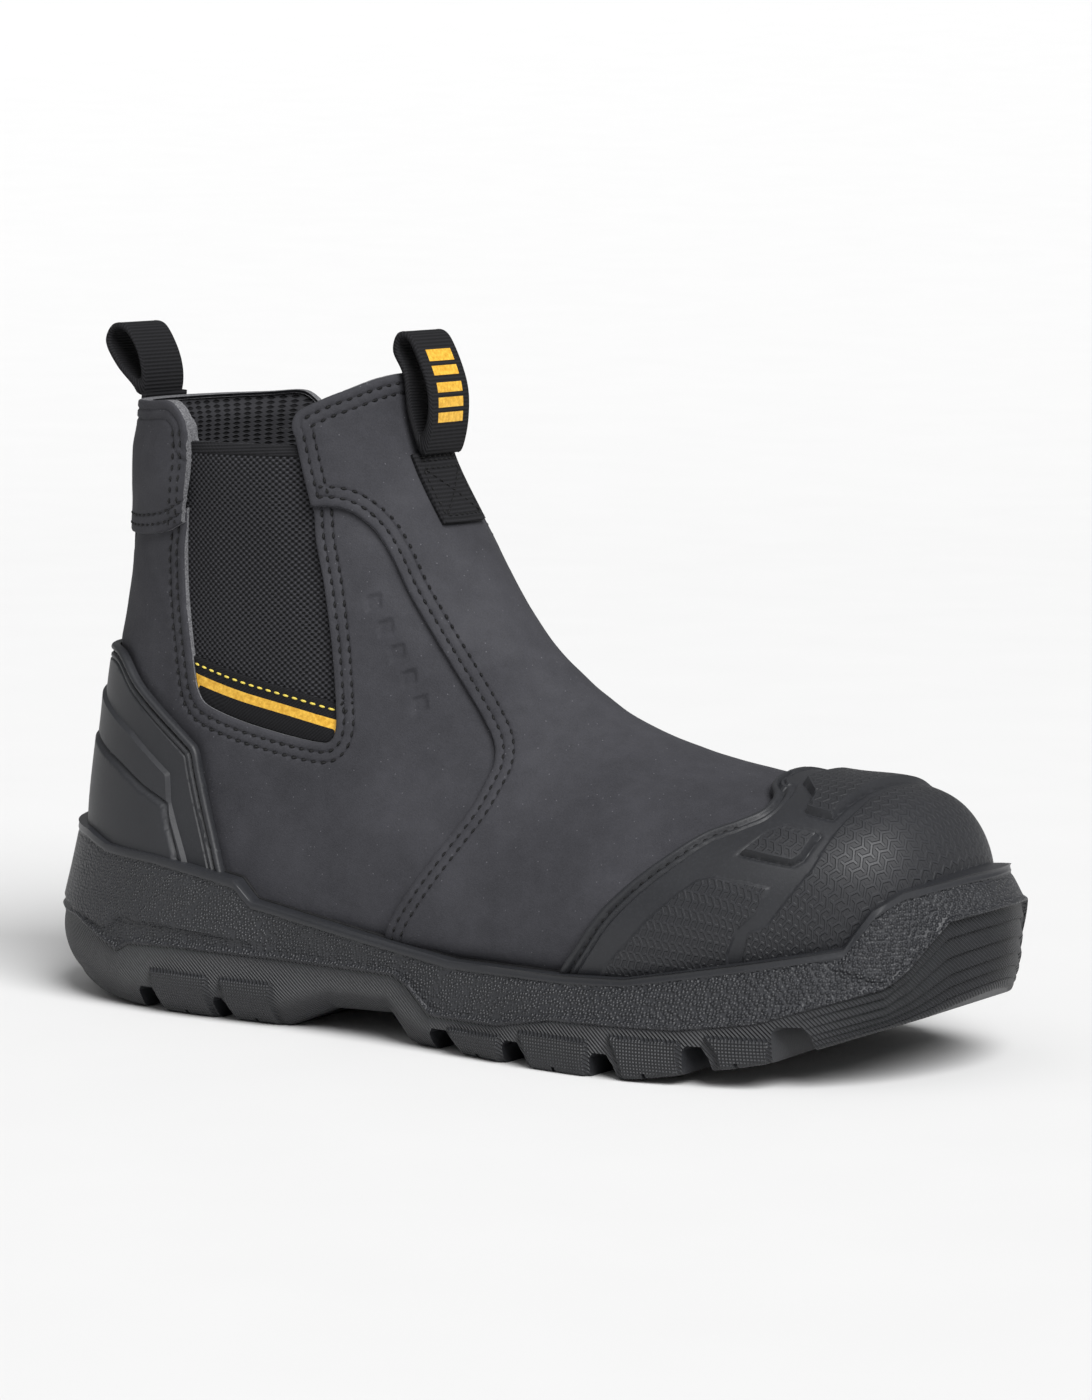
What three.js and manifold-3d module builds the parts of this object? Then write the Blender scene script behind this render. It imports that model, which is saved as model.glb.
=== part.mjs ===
// A right steel toe work boot of the pull-on kind, with elastic gussets and webbing pull loops.
// Millimetres. +X runs to the toe, +Y to the inner (medial) side, +Z up, and the ground is z = 0.
import * as THREE from 'three';
import { mergeVertices } from 'three/addons/utils/BufferGeometryUtils.js';
import Module from 'manifold-3d';

const wasm = await Module();
wasm.setup();

// ---- driving dimensions ----
const PLAY = 0.3; // gap kept between neighbouring pieces
const LEATHER = 2.0; // thickness of the upper leather
const GUARD = 2.5; // thickness of the moulded toe and heel guards
const BACKING = 2.0; // steel cap, heel counter, collar foam and interlining
const LINING = 1.2; // thickness of the mesh lining
const ELASTIC = 1.6; // thickness of the gusset elastic
const WEBBING = 1.6; // thickness of the patches that hold the pull loops
const WEBBING_WIDTH = 20;
const STRIP = 1.0; // thickness of the strip down the back seam
const BOARD = 2.0; // board that the upper is stitched to
const PLATE = 1.4; // plate against nails
const FOOTBED = 4.5; // foam footbed
const FOOTBED_COVER = 0.9; // cloth on the footbed
const SHANK = 1.8; // steel shank under the arch
const PLATE_MARGIN = 2; // how far the plate reaches beyond the footbed all round
const FOOTBED_MARGIN = 0.8; // room left round the footbed
const ALLOWANCE = 6; // how far the elastic runs under the leather
const CAP_REAR = 85; // x where the steel cap begins
const LINING_FRONT = 130; // x where the lining ends against the front of the cap
const EDGE_STRIP = 8; // width of the soft strip behind the steel cap
const REACH = 90; // how far a cutting solid reaches to each side
const SECTION_STEPS = [4, 5]; // steps below and above a section's widest point
const PLAN_STEPS = 4; // steps between two points of a plan outline

// Layers of the upper, as distances from the leather's outer face, positive outwards.
const below = (top, thickness) => ({ outer: top, inner: top - thickness });
const leatherLayer = below(0, LEATHER);
const guardLayer = below(PLAY + GUARD, GUARD);
const stripLayer = below(PLAY + STRIP, STRIP);
const webbingLayer = below(PLAY + WEBBING, WEBBING);
const backingLayer = below(leatherLayer.inner - PLAY, BACKING);
const elasticLayer = below(leatherLayer.inner - PLAY, ELASTIC);
const labelLayer = below(leatherLayer.inner + 1, 1);
const liningLayer = below(backingLayer.inner - 2 * PLAY, LINING);

// The upper is a loft of flat sections that fan out from the collar round the ankle to the toe.
// Each runs from its bottom [x, z] to its top [x, z]; lateral and medial are its half widths.
const section = (bottom, top, lateral, medial, centre, widest, roundTop, roundBottom) => [
  ...bottom, ...top, lateral, medial, centre, widest, roundTop, roundBottom,
];
const sections = [
  section([-126, 196], [-37, 200], 37, 37, 0, 0.5, 2.2, 2.2),
  section([-130, 160], [-32, 166], 37, 37, 0, 0.5, 2.2, 2.2),
  section([-132, 125], [-13, 135], 36, 36, 0, 0.46, 2.1, 2.3),
  section([-138, 85], [5, 113], 38, 36, 0, 0.42, 2.0, 2.5),
  section([-136, 34], [21, 100], 41, 39, 0, 0.34, 2.0, 3.0),
  section([-95, 26], [38, 90], 44, 41, 0, 0.28, 2.0, 4.0),
  section([-45, 25], [59, 83], 48, 44, 1, 0.25, 2.0, 4.0),
  section([5, 22], [80, 79], 53, 47, 2, 0.25, 2.0, 4.0),
  section([50, 20], [101, 76], 54, 48.5, 3, 0.28, 2.1, 4.0),
  section([88, 20], [118, 75], 48, 43, 4, 0.32, 2.3, 3.5),
  section([117, 23], [131, 71], 38, 32, 4, 0.38, 2.4, 3.0),
  section([134, 30], [139, 60], 24, 19, 5, 0.45, 2.3, 2.4),
  section([142.5, 42], [142.5, 42], 0, 0, 5, 0.5, 2.2, 2.2),
];
const ABOVE_COLLAR = -0.3; // where the loft starts, above the collar
const TOE_END = 11.97; // where the loft ends, just short of its tip
const loftPlaces = [
  ABOVE_COLLAR, 0.1, 0.6, 1.1, 1.6, 2.1, 2.6, 3.1, 3.6, 4, 4.4, 4.8, 5.3, 5.9, 6.5, 7.1, 7.7, 8.3, 8.9,
  9.4, 9.9, 10.35, 10.75, 11.1, 11.45, 11.75, TOE_END,
];

// Side view outlines [x, z], the same on both sides of the boot.
const vampSeam = [
  [-51, 149], [-40, 148], [-34, 142.7], [-23, 125], [-5.4, 100.6], [7.6, 84.5], [9.5, 77.5],
  [6.8, 66.3], [-7.2, 44.2], [-13.9, 33], [-22, 12],
];
const frontPanelEdge = [[-51, 149], [-55, 163], [-56.5, 167], [-57.6, 172.5]];
const frontCollar = [[-57.6, 172.5], [-55.7, 176], [-50, 179.5], [-43.6, 182.6], [-35, 187], [-18, 192]];
const gussetFront = [[-40.7, 86], [-41.2, 94], [-46.7, 126.5], [-51, 149], [-55, 163], [-57, 170]];
const gussetBottom = [[-88, 93], [-84.4, 90.3], [-57, 83.7], [-44.4, 82.2], [-41.7, 82.7], [-40.7, 86]];
const gussetRear = [[-92.6, 170], [-92.7, 156.7], [-95.3, 128.5], [-93.5, 114.6], [-88, 93]];
const GUSSET_TOP = 166.5;
const labelTop = [[-96, 105.5], [-72.7, 100], [-55.8, 96.7], [-34, 92]];
const backTabSeam = [[-160, 138], [-115, 138], [-98.4, 140], [-86, 142.5]];
const rearCollar = [[-92.6, 166.5], [-93.6, 172.4], [-97, 176], [-101, 178], [-127, 177], [-160, 176]];
const heelGuardEdge = [
  [-160, 104], [-121, 103.5], [-110.4, 95], [-89.2, 80.1], [-86, 76], [-80.5, 59.4], [-70, 32], [-66, 20],
];
const toeGuardEdge = [
  [36, 10], [44.4, 25], [58.8, 43.8], [76.9, 60.2], [91.2, 68.5], [95.9, 70.9], [93, 74.5], [88, 77.5],
  [102, 90],
];

// Plan outlines [x, y] of the sole, from the heel round the lateral side and back on the medial one.
const treadOutline = [
  [-150, 0], [-143, -23], [-122, -38], [-90, -42], [-45, -42], [0, -47], [40, -56], [75, -57], [110, -49],
  [135, -31], [148.5, -4], [148.5, 17], [137.5, 35.5], [114, 48], [80, 54], [45, 52], [0, 43], [-45, 38], [-90, 40],
  [-122, 36], [-143, 21],
];
const girthOutline = [
  [-155, 0], [-148, -25], [-126, -42], [-90, -49], [-45, -49.5], [0, -53], [40, -58], [75, -58.5],
  [110, -50.5], [136.5, -33], [151.5, -4], [151.5, 17], [139.5, 37.5], [115, 50.5], [80, 56.5], [45, 56], [0, 51.5],
  [-45, 47], [-90, 46], [-126, 40], [-148, 23],
];
const rimOutline = [
  [-148.5, 0], [-141.5, -24], [-122, -40], [-90, -46.5], [-45, -50], [0, -52.5], [40, -54.5], [75, -53.5],
  [108, -46.5], [133, -32], [147, -4], [147, 16], [136.5, 32.5], [114, 47.5], [80, 54.5], [45, 54.5], [0, 50.5],
  [-45, 47], [-90, 43.5], [-122, 37.5], [-141.5, 22],
];

const footbedOutline = [
  [-126, 0], [-120, -17], [-105, -27], [-90, -29.5], [-45, -33.5], [0, -36.5], [40, -38], [70, -36],
  [95, -30], [114, -20], [127, -4], [127, 14], [116, 26], [95, 34.5], [70, 38.5], [40, 38], [0, 34], [-45, 31],
  [-90, 28], [-105, 26], [-120, 16],
];

// Side profiles [x, z] of the sole.
const groundProfile = [
  [-155, 20], [-148, 11], [-138, 5.3], [-124, 2.2], [-111, 0.6], [-98, 0], [-53, 0], [-36, 7], [-14, 8],
  [-8, 1], [-4, 0], [70, 0], [93, 4], [113, 8], [130, 14], [143, 18.5], [155, 26],
];
const jointProfile = [
  [-155, 25.5], [-132, 24.6], [-112, 17], [-107, 19.7], [-89, 20.6], [-9, 20.5], [-4, 17.6], [4, 10.5],
  [28, 10.7], [48, 14.5], [87, 15.5], [108, 18.5], [137, 28], [141, 33], [147, 45], [155, 47.5],
];
const rimProfile = [
  [-155, 52], [-129, 50.7], [-118, 47.7], [-98, 46.4], [-67, 42.3], [-61, 36.8], [-21, 31], [10, 26.8],
  [47, 26.6], [68, 27.5], [100, 33.4], [127, 38.5], [133, 49], [138, 53.5], [147, 56.5], [155, 57.5],
];

// Notches between the side lugs: [x from, x to].
const notches = [[-105, -98], [-77, -72], [3, 11], [30, 37], [60, 67], [88, 95], [112, 121]];
const NOTCH_DEPTH = 7;
const NOTCH_INNER_END = 19; // distance from the middle where a notch ends

// Pull loops, as side view outlines [x, z] closed on themselves, hinged at their feet.
const frontLoop = {
  outside: [
    [-29.4, 164.6], [-33.4, 175], [-34.9, 186], [-38.4, 193], [-36.4, 198.3], [-31.2, 196.6], [-25.4, 184],
    [-24.8, 173.5], [-27, 164.4],
  ],
  inside: [
    [-29.2, 169], [-31.9, 176], [-33.3, 186.4], [-36.4, 193.4], [-35.4, 196.4], [-32.2, 194.8], [-27, 183.2],
    [-26.5, 174.6],
  ],
};
const rearLoop = {
  outside: [
    [-128.5, 178.7], [-128, 184], [-130, 191], [-134.5, 197.8], [-139.8, 198.2], [-142.6, 193], [-138.6, 186],
    [-132.8, 180.4], [-130.6, 178.6],
  ],
  inside: [
    [-129.9, 182.4], [-129.5, 185], [-131.4, 191.4], [-135.3, 196.3], [-139.2, 196.5], [-140.8, 193],
    [-137.2, 186.8], [-132.4, 182.6],
  ],
};

// ---- building blocks ----
// Value of a uniform Catmull-Rom curve through a list of numbers, run on straight past its ends.
function catmullRom(values, place) {
  const last = values.length - 1;
  const i = Math.min(Math.max(Math.floor(place), 0), last - 1);
  const t = place - i;
  const p1 = values[i];
  const p2 = values[i + 1];
  const p0 = i > 0 ? values[i - 1] : 2 * p1 - p2;
  const p3 = i < last - 1 ? values[i + 2] : 2 * p2 - p1;
  const linear = -p0 + p2;
  const square = 2 * p0 - 5 * p1 + 4 * p2 - p3;
  const cube = -p0 + 3 * p1 - 3 * p2 + p3;
  return 0.5 * (2 * p1 + linear * t + square * t ** 2 + cube * t ** 3);
}

const sectionAt = (place) => sections[0].map((_, column) => catmullRom(sections.map((s) => s[column]), place));

// One closed section: from its bottom up the lateral side, over its top and down the medial side.
function sectionRing(place) {
  const [bottomX, bottomZ, topX, topZ, lateral, medial, centre, widest, roundTop, roundBottom] = sectionAt(place);
  const [lowSteps, highSteps] = SECTION_STEPS;
  const half = [];
  for (let i = 0; i <= lowSteps + highSteps; i++) {
    const isLow = i <= lowSteps;
    const angle = (Math.PI / 2) * (isLow ? i / lowSteps : (lowSteps + highSteps - i) / highSteps);
    const power = 2 / (isLow ? roundBottom : roundTop);
    const away = Math.cos(angle) ** power;
    const isEnd = i === 0 || i === lowSteps + highSteps;
    const rise = isLow ? widest * (1 - away) : widest + (1 - widest) * away;
    half.push({ rise, spread: isEnd ? 0 : Math.sin(angle) ** power });
  }
  const point = ({ rise, spread }, side, halfWidth) => new THREE.Vector3(
    bottomX + (topX - bottomX) * rise,
    centre + side * halfWidth * spread,
    bottomZ + (topZ - bottomZ) * rise,
  );
  const up = half.map((step) => point(step, -1, lateral));
  const down = half.slice(1, -1).reverse().map((step) => point(step, 1, medial));
  return [...up, ...down];
}

// A closed mesh through rings of equally many points, with the given triangles closing both ends.
function loftGeometry(rings, capTriangles) {
  const count = rings[0].length;
  const points = rings.flat();
  const triangles = [];
  for (let i = 0; i < rings.length - 1; i++) {
    for (let j = 0; j < count; j++) {
      const a = i * count + j;
      const b = i * count + ((j + 1) % count);
      triangles.push(a, a + count, b + count, a, b + count, b);
    }
  }
  capTriangles(points, triangles, count, (rings.length - 1) * count);
  const geometry = new THREE.BufferGeometry();
  geometry.setAttribute('position', new THREE.Float32BufferAttribute(points.flatMap((p) => [p.x, p.y, p.z]), 3));
  geometry.setIndex(triangles);
  return geometry;
}

// Ends closed by a fan about their middle.
function fanCaps(points, triangles, count, lastStart) {
  for (const [start, step] of [[0, 1], [lastStart, -1]]) {
    const middle = new THREE.Vector3();
    for (let j = 0; j < count; j++) middle.addScaledVector(points[start + j], 1 / count);
    const centre = points.push(middle) - 1;
    for (let j = 0; j < count; j++) {
      triangles.push(centre, start + j, start + ((j + step + count) % count));
    }
  }
}

// Ends closed by strips that run straight across from one side to the other.
function stripCaps(points, triangles, count, lastStart) {
  for (const [start, isTop] of [[0, false], [lastStart, true]]) {
    for (let i = 0; i < count / 2; i++) {
      const [a, b, c, d] = [i, (count - i) % count, count - i - 1, i + 1].map((j) => start + j);
      for (const [p, q, r] of [[a, b, c], [a, c, d]]) {
        if (p !== q && q !== r && r !== p) triangles.push(p, ...(isTop ? [q, r] : [r, q]));
      }
    }
  }
}

// A manifold solid from a closed geometry.
function solid(geometry) {
  const source = geometry.clone();
  source.deleteAttribute('normal');
  source.deleteAttribute('uv');
  const merged = mergeVertices(source);
  return new wasm.Manifold(new wasm.Mesh({
    numProp: 3,
    vertProperties: new Float32Array(merged.attributes.position.array),
    triVerts: new Uint32Array(merged.index.array),
  }));
}

// The upper's outer shape, grown by a distance; kept, because many pieces use the same one.
const baseRings = loftPlaces.map(sectionRing);
const skins = new Map();
function skin(distance) {
  if (!skins.has(distance)) {
    const last = baseRings.length - 1;
    const rings = baseRings.map((ring, i) => ring.map((point, j) => {
      const next = ring[(j + 1) % ring.length];
      const previous = ring[(j - 1 + ring.length) % ring.length];
      const along = baseRings[Math.min(i + 1, last)][j].clone().sub(baseRings[Math.max(i - 1, 0)][j]);
      const outward = along.cross(next.clone().sub(previous)).normalize();
      return point.clone().addScaledVector(outward, distance);
    }));
    skins.set(distance, solid(loftGeometry(rings, fanCaps)));
  }
  return skins.get(distance);
}
const shell = ({ outer, inner }) => skin(outer).subtract(skin(inner));

// A side view outline run straight through the boot from one y to another.
function sidePrism(outline, yFrom = -REACH, yTo = REACH) {
  const shape = new THREE.Shape(outline.map(([x, z]) => new THREE.Vector2(x, z)));
  const geometry = new THREE.ExtrudeGeometry(shape, { depth: yTo - yFrom, bevelEnabled: false });
  geometry.rotateX(Math.PI / 2);
  geometry.translate(0, yTo, 0);
  return solid(geometry);
}

// A plan outline run straight up through the sole and the foot's room.
function planPrism(outline) {
  const shape = new THREE.Shape(outline.map(([x, y]) => new THREE.Vector2(x, y)));
  return solid(new THREE.ExtrudeGeometry(shape, { depth: 80, bevelEnabled: false }));
}

function box([x0, y0, z0], [x1, y1, z1]) {
  const geometry = new THREE.BoxGeometry(x1 - x0, y1 - y0, z1 - z0);
  geometry.translate((x0 + x1) / 2, (y0 + y1) / 2, (z0 + z1) / 2);
  return solid(geometry);
}

// Points of a smooth curve through the given ones.
function smooth(points, steps = 2) {
  const curve = new THREE.SplineCurve(points.map(([x, z]) => new THREE.Vector2(x, z)));
  return curve.getPoints((points.length - 1) * steps).map((p) => [p.x, p.y]);
}

// An outline moved outwards by a distance, corner by corner.
function grown(outline, distance) {
  const turn = THREE.ShapeUtils.isClockWise(outline.map(([x, z]) => new THREE.Vector2(x, z))) ? 1 : -1;
  return outline.map(([x, z], i) => {
    const [beforeX, beforeZ] = outline[(i - 1 + outline.length) % outline.length];
    const [afterX, afterZ] = outline[(i + 1) % outline.length];
    const direction = new THREE.Vector2(afterX - beforeX, afterZ - beforeZ).normalize();
    return [x - turn * direction.y * distance, z + turn * direction.x * distance];
  });
}

function heightAt(profile, x) {
  const after = profile.findIndex(([px]) => px >= x);
  if (after === 0) return profile[0][1];
  if (after < 0) return profile[profile.length - 1][1];
  const [x0, z0] = profile[after - 1];
  const [x1, z1] = profile[after];
  return z0 + ((z1 - z0) * (x - x0)) / (x1 - x0);
}

// The line under the foot, from the heel to the toe, lifted by a height.
const BOTTOM_FIRST = 4.3;
const BOTTOM_LAST = 11;
const BOTTOM_POINTS = 16;
function bottomLine(lift) {
  const line = [];
  for (let i = 0; i <= BOTTOM_POINTS; i++) {
    const [x, z] = sectionAt(BOTTOM_FIRST + ((BOTTOM_LAST - BOTTOM_FIRST) * i) / BOTTOM_POINTS);
    line.push([x, z + lift]);
  }
  return [[-170, line[0][1]], ...line, [170, line[line.length - 1][1]]];
}
const aboveBottom = (lift) => sidePrism([...bottomLine(lift), [170, 230], [-170, 230]]);
const bottomSlab = (low, high) => sidePrism([...bottomLine(low), ...bottomLine(high).reverse()]);

// ---- regions of the upper, as cutting solids ----
const vampOutline = [
  ...smooth(vampSeam).reverse(), ...frontPanelEdge.slice(1), ...frontCollar.slice(1), [-10, 230], [175, 230],
  [175, 5],
];
const gussetOutline = [
  ...smooth(gussetRear), ...smooth(gussetBottom).slice(1, -1), ...smooth(gussetFront),
];
const backTabOutline = [...backTabSeam, [-86, 166.5], ...rearCollar];
const heelGuardOutline = [...smooth(heelGuardEdge), [-160, 20]];
const toeGuardOutline = [...smooth(toeGuardEdge), [175, 90], [175, 10]];
const collarTrim = [
  [-175, 0], [-175, 176], ...[...rearCollar].reverse().slice(1), [-92.6, 166.5], [-56.4, 166.5],
  ...frontCollar, [-10, 230], [175, 230], [175, 0],
];

const vampRegion = sidePrism(vampOutline);
const gussetRegion = sidePrism(gussetOutline);
const elasticRegion = sidePrism(grown(gussetOutline, ALLOWANCE))
  .intersect(box([-170, -REACH, 0], [170, REACH, GUSSET_TOP]));
const aroundElastic = sidePrism(grown(gussetOutline, ALLOWANCE + PLAY));
const backTabRegion = sidePrism(backTabOutline);
const heelGuardRegion = sidePrism(heelGuardOutline);
const toeGuardRegion = sidePrism(toeGuardOutline);
const belowCollar = (drop) => sidePrism(collarTrim).translate([0, 0, -drop]);
const lateralHalf = box([-170, -REACH, -10], [170, -PLAY / 2, 230]);
const medialHalf = box([-170, PLAY / 2, -10], [170, REACH, 230]);

// ---- under the foot: heights above the bottom line, and the room that the footbed needs ----
const boardLow = 2 * PLAY;
const plateLow = boardLow + BOARD + PLAY;
const footbedLow = plateLow + PLATE + PLAY;
const coverLow = footbedLow + FOOTBED + PLAY;
const footPlan = smooth([...footbedOutline, footbedOutline[0]]).slice(0, -1);
const footbedRoom = planPrism(grown(footPlan, FOOTBED_MARGIN))
  .intersect(bottomSlab(0, coverLow + FOOTBED_COVER + PLAY));
const wallOf = (layer) => shell(layer).intersect(aboveBottom(footbedLow)).subtract(footbedRoom);

// ---- leather upper ----
const leather = wallOf(leatherLayer);

const vamp = leather.intersect(vampRegion);

const backTab = leather.intersect(backTabRegion).subtract(gussetRegion);

const quarters = leather
  .intersect(box([-170, -REACH, 0], [30, REACH, 150]))
  .subtract(vampRegion.translate([-PLAY, 0, -PLAY]))
  .subtract(backTabRegion.translate([0, 0, -PLAY]))
  .subtract(gussetRegion);
const quarterLateral = quarters.intersect(lateralHalf);
const quarterMedial = quarters.intersect(medialHalf);

const STRIP_HALF_WIDTH = 8;
const backstayStrip = shell(stripLayer)
  .intersect(box([-170, -STRIP_HALF_WIDTH, 104.5], [-110, STRIP_HALF_WIDTH, 131]));

// ---- elastic gussets and their labels ----
const elastic = shell(elasticLayer).intersect(elasticRegion);
const gussetLateral = elastic.intersect(lateralHalf);
const gussetMedial = elastic.intersect(medialHalf);

const labelOutline = [...labelTop, [-34, 75], [-96, 75]];
const labels = shell(labelLayer)
  .intersect(sidePrism(labelOutline))
  .intersect(sidePrism(grown(gussetOutline, -PLAY)));
const labelLateral = labels.intersect(lateralHalf);
const labelMedial = labels.intersect(medialHalf);

// ---- moulded guards ----
const GUARD_TUCK = 5; // height above the bottom line where the guards end inside the sole
const guardShell = shell(guardLayer).intersect(aboveBottom(GUARD_TUCK));
const toeGuard = guardShell.intersect(toeGuardRegion);
const heelGuard = guardShell.intersect(heelGuardRegion);

// ---- stiffeners, padding and lining ----
const backing = wallOf(backingLayer);
const steelToeCap = backing.intersect(box([CAP_REAR, -REACH, 0], [170, REACH, 120]));
const stripFront = CAP_REAR - PLAY;
const stripRear = stripFront - EDGE_STRIP;
const edgeStrip = backing.intersect(box([stripRear, -REACH, 0], [stripFront, REACH, 120]));

const vampInterlining = backing
  .intersect(vampRegion.translate([0, 0, -1.5]))
  .intersect(box([-60, -REACH, 0], [stripRear - PLAY, REACH, 200]))
  .subtract(aroundElastic);

const heelCounter = backing.intersect(sidePrism([
  [-170, 10], [-62, 10], [-74, 42], [-86, 70], [-97, 82], [-112, 90], [-170, 92],
]));

const collarFoam = backing
  .intersect(sidePrism([[-170, 93], [-112, 91], [-100, 86], [-80, 86], [-80, 190], [-170, 190]]))
  .intersect(belowCollar(1.5))
  .subtract(aroundElastic);

const lining = wallOf(liningLayer).intersect(belowCollar(1));
const vampLiningRegion = sidePrism([...smooth(vampSeam).reverse(), [-51, 230], [175, 230], [175, 5]]);
const vampLining = lining.intersect(vampLiningRegion)
  .intersect(box([-170, -REACH, 0], [LINING_FRONT, REACH, 230]));
const quarterLining = lining.subtract(vampLiningRegion.translate([-PLAY, 0, -PLAY]));

// ---- pieces under the foot ----
const board = skin(0).intersect(bottomSlab(boardLow, boardLow + BOARD));
const plate = planPrism(grown(footPlan, PLATE_MARGIN)).intersect(bottomSlab(plateLow, plateLow + PLATE));

// A round pad under the heel, in a pocket open to the footbed's underside.
const HEEL_PAD_HEIGHT = 2.5;
const heelPadShape = (radiusX, radiusY, low, high) => {
  const geometry = new THREE.CylinderGeometry(1, 1, 60, 32);
  geometry.rotateX(Math.PI / 2);
  geometry.scale(radiusX, radiusY, 1);
  geometry.translate(-96, 0, 30);
  return solid(geometry).intersect(bottomSlab(low, high));
};
const heelPad = heelPadShape(21, 17, footbedLow, footbedLow + HEEL_PAD_HEIGHT);
const padPocket = heelPadShape(21 + PLAY, 17 + PLAY, footbedLow - 1, footbedLow + HEEL_PAD_HEIGHT + PLAY);
const footbed = planPrism(footPlan).intersect(bottomSlab(footbedLow, footbedLow + FOOTBED))
  .subtract(padPocket);
const footbedCover = planPrism(footPlan).intersect(bottomSlab(coverLow, coverLow + FOOTBED_COVER));

// ---- sole ----
const outlinePoints = (outline) => {
  const curve = new THREE.CatmullRomCurve3(
    outline.map(([x, y]) => new THREE.Vector3(x, y, 0)), true, 'catmullrom', 0.5,
  );
  const count = outline.length * PLAN_STEPS * 2;
  const points = [];
  for (let j = 0; j < count; j += 2) points.push(curve.getPoint(1 - j / count));
  return points;
};
const tread = outlinePoints(treadOutline);
const girth = outlinePoints(girthOutline);
const rim = outlinePoints(rimOutline);

// A ring between two plan outlines, its height worked out at each point.
const soleRing = (from, to, share, height) => from.map((point, j) => {
  const place = point.clone().lerp(to[j], share);
  place.z = height(place.x);
  return place;
});
const ground = (x) => heightAt(groundProfile, x);
const joint = (x) => heightAt(jointProfile, x);
const rimTop = (x) => heightAt(rimProfile, x);
const between = (low, high, share) => (x) => low(x) + (high(x) - low(x)) * share;
const lowered = (height, drop) => (x) => height(x) - drop;

const guardRoom = skin(guardLayer.outer + PLAY)
  .intersect(toeGuardRegion.translate([-1, 0, 0]).add(heelGuardRegion.translate([1, 0, 0])));
const footRoom = skin(PLAY).add(guardRoom);

const shankSlab = (low, high, halfWidth, x0, x1) => bottomSlab(low, high)
  .intersect(box([x0, -halfWidth, 0], [x1, halfWidth, 60]));
const shank = shankSlab(-SHANK - PLAY, -PLAY, 8, -72, 14);
const shankPocket = shankSlab(-SHANK - 2 * PLAY, 1, 8 + PLAY, -72 - PLAY, 14 + PLAY);

const midsole = solid(loftGeometry([
  soleRing(girth, girth, 0, lowered(joint, -PLAY / 2)),
  soleRing(girth, rim, 0.55, between(joint, rimTop, 0.5)),
  soleRing(girth, rim, 1, lowered(rimTop, 1.2)),
  soleRing(rim, tread, 0.12, rimTop),
], stripCaps)).subtract(footRoom).subtract(shankPocket);

const outsoleBlank = solid(loftGeometry([
  soleRing(tread, tread, 0, ground),
  soleRing(tread, girth, 0.75, between(ground, joint, 0.4)),
  soleRing(girth, girth, 0, lowered(joint, PLAY / 2)),
], stripCaps));
const notchSolids = notches.flatMap(([from, to]) => [-1, 1].map((side) => {
  const ends = [side * NOTCH_INNER_END, side * REACH].sort((a, b) => a - b);
  const floor = Math.max(ground(from), ground(to)) + NOTCH_DEPTH;
  return sidePrism([[from - 1, -2], [to + 1, -2], [to, floor], [from, floor]], ...ends);
}));
const heelGroove = box([-88, -NOTCH_INNER_END, -2], [-82, NOTCH_INNER_END, 4]);
const outsole = notchSolids.reduce((rest, notch) => rest.subtract(notch), outsoleBlank)
  .subtract(heelGroove)
  .subtract(footRoom);

// ---- webbing pull loops ----
const halfWebbing = WEBBING_WIDTH / 2;
const closedCurve = (points) => smooth([points.at(-1), ...points, points[0], points[1]]).slice(2, -2);
const pullLoop = ({ outside, inside }) => sidePrism(closedCurve(outside), -halfWebbing, halfWebbing)
  .subtract(sidePrism(closedCurve(inside)));
const frontPullLoop = pullLoop(frontLoop);
const rearPullLoop = pullLoop(rearLoop);

const patchShell = shell(webbingLayer);
const frontLoopPatch = patchShell
  .intersect(box([-60, -halfWebbing, 143.5], [0, halfWebbing, 163.2]));
const rearLoopPatch = patchShell
  .intersect(box([-160, -halfWebbing, 131.5], [-110, halfWebbing, 177.6]));

// ---- the boot ----
const boot = new THREE.Group();
function addPiece(name, shape, color, roughness, metalness = 0) {
  const { numProp, vertProperties, triVerts } = shape.getMesh();
  const positions = new Float32Array((vertProperties.length / numProp) * 3);
  for (let i = 0; i < positions.length / 3; i++) {
    for (let axis = 0; axis < 3; axis++) positions[3 * i + axis] = vertProperties[numProp * i + axis];
  }
  const geometry = new THREE.BufferGeometry();
  geometry.setAttribute('position', new THREE.BufferAttribute(positions, 3));
  geometry.setIndex(new THREE.BufferAttribute(new Uint32Array(triVerts), 1));
  geometry.computeVertexNormals();
  const mesh = new THREE.Mesh(geometry, new THREE.MeshStandardMaterial({ color, roughness, metalness }));
  mesh.name = name;
  boot.add(mesh);
}

const NUBUCK = 0x2f3035;
const MOULDED = 0x2a2b2f;
const CLOTH = 0x151517;
const STEEL = 0x9a9da1;
addPiece('vamp', vamp, NUBUCK, 0.75);
addPiece('quarter_lateral', quarterLateral, NUBUCK, 0.75);
addPiece('quarter_medial', quarterMedial, NUBUCK, 0.75);
addPiece('back_tab', backTab, NUBUCK, 0.75);
addPiece('backstay_strip', backstayStrip, CLOTH, 0.9);
addPiece('gusset_lateral', gussetLateral, CLOTH, 0.9);
addPiece('gusset_medial', gussetMedial, CLOTH, 0.9);
addPiece('gusset_label_lateral', labelLateral, CLOTH, 0.8);
addPiece('gusset_label_medial', labelMedial, CLOTH, 0.8);
addPiece('front_pull_loop', frontPullLoop, CLOTH, 0.85);
addPiece('front_loop_patch', frontLoopPatch, CLOTH, 0.85);
addPiece('rear_pull_loop', rearPullLoop, CLOTH, 0.85);
addPiece('rear_loop_patch', rearLoopPatch, CLOTH, 0.85);
addPiece('toe_guard', toeGuard, MOULDED, 0.55);
addPiece('heel_guard', heelGuard, MOULDED, 0.55);
addPiece('steel_toe_cap', steelToeCap, STEEL, 0.35, 0.9);
addPiece('toe_cap_edge_strip', edgeStrip, 0x3a3a3c, 0.8);
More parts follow.
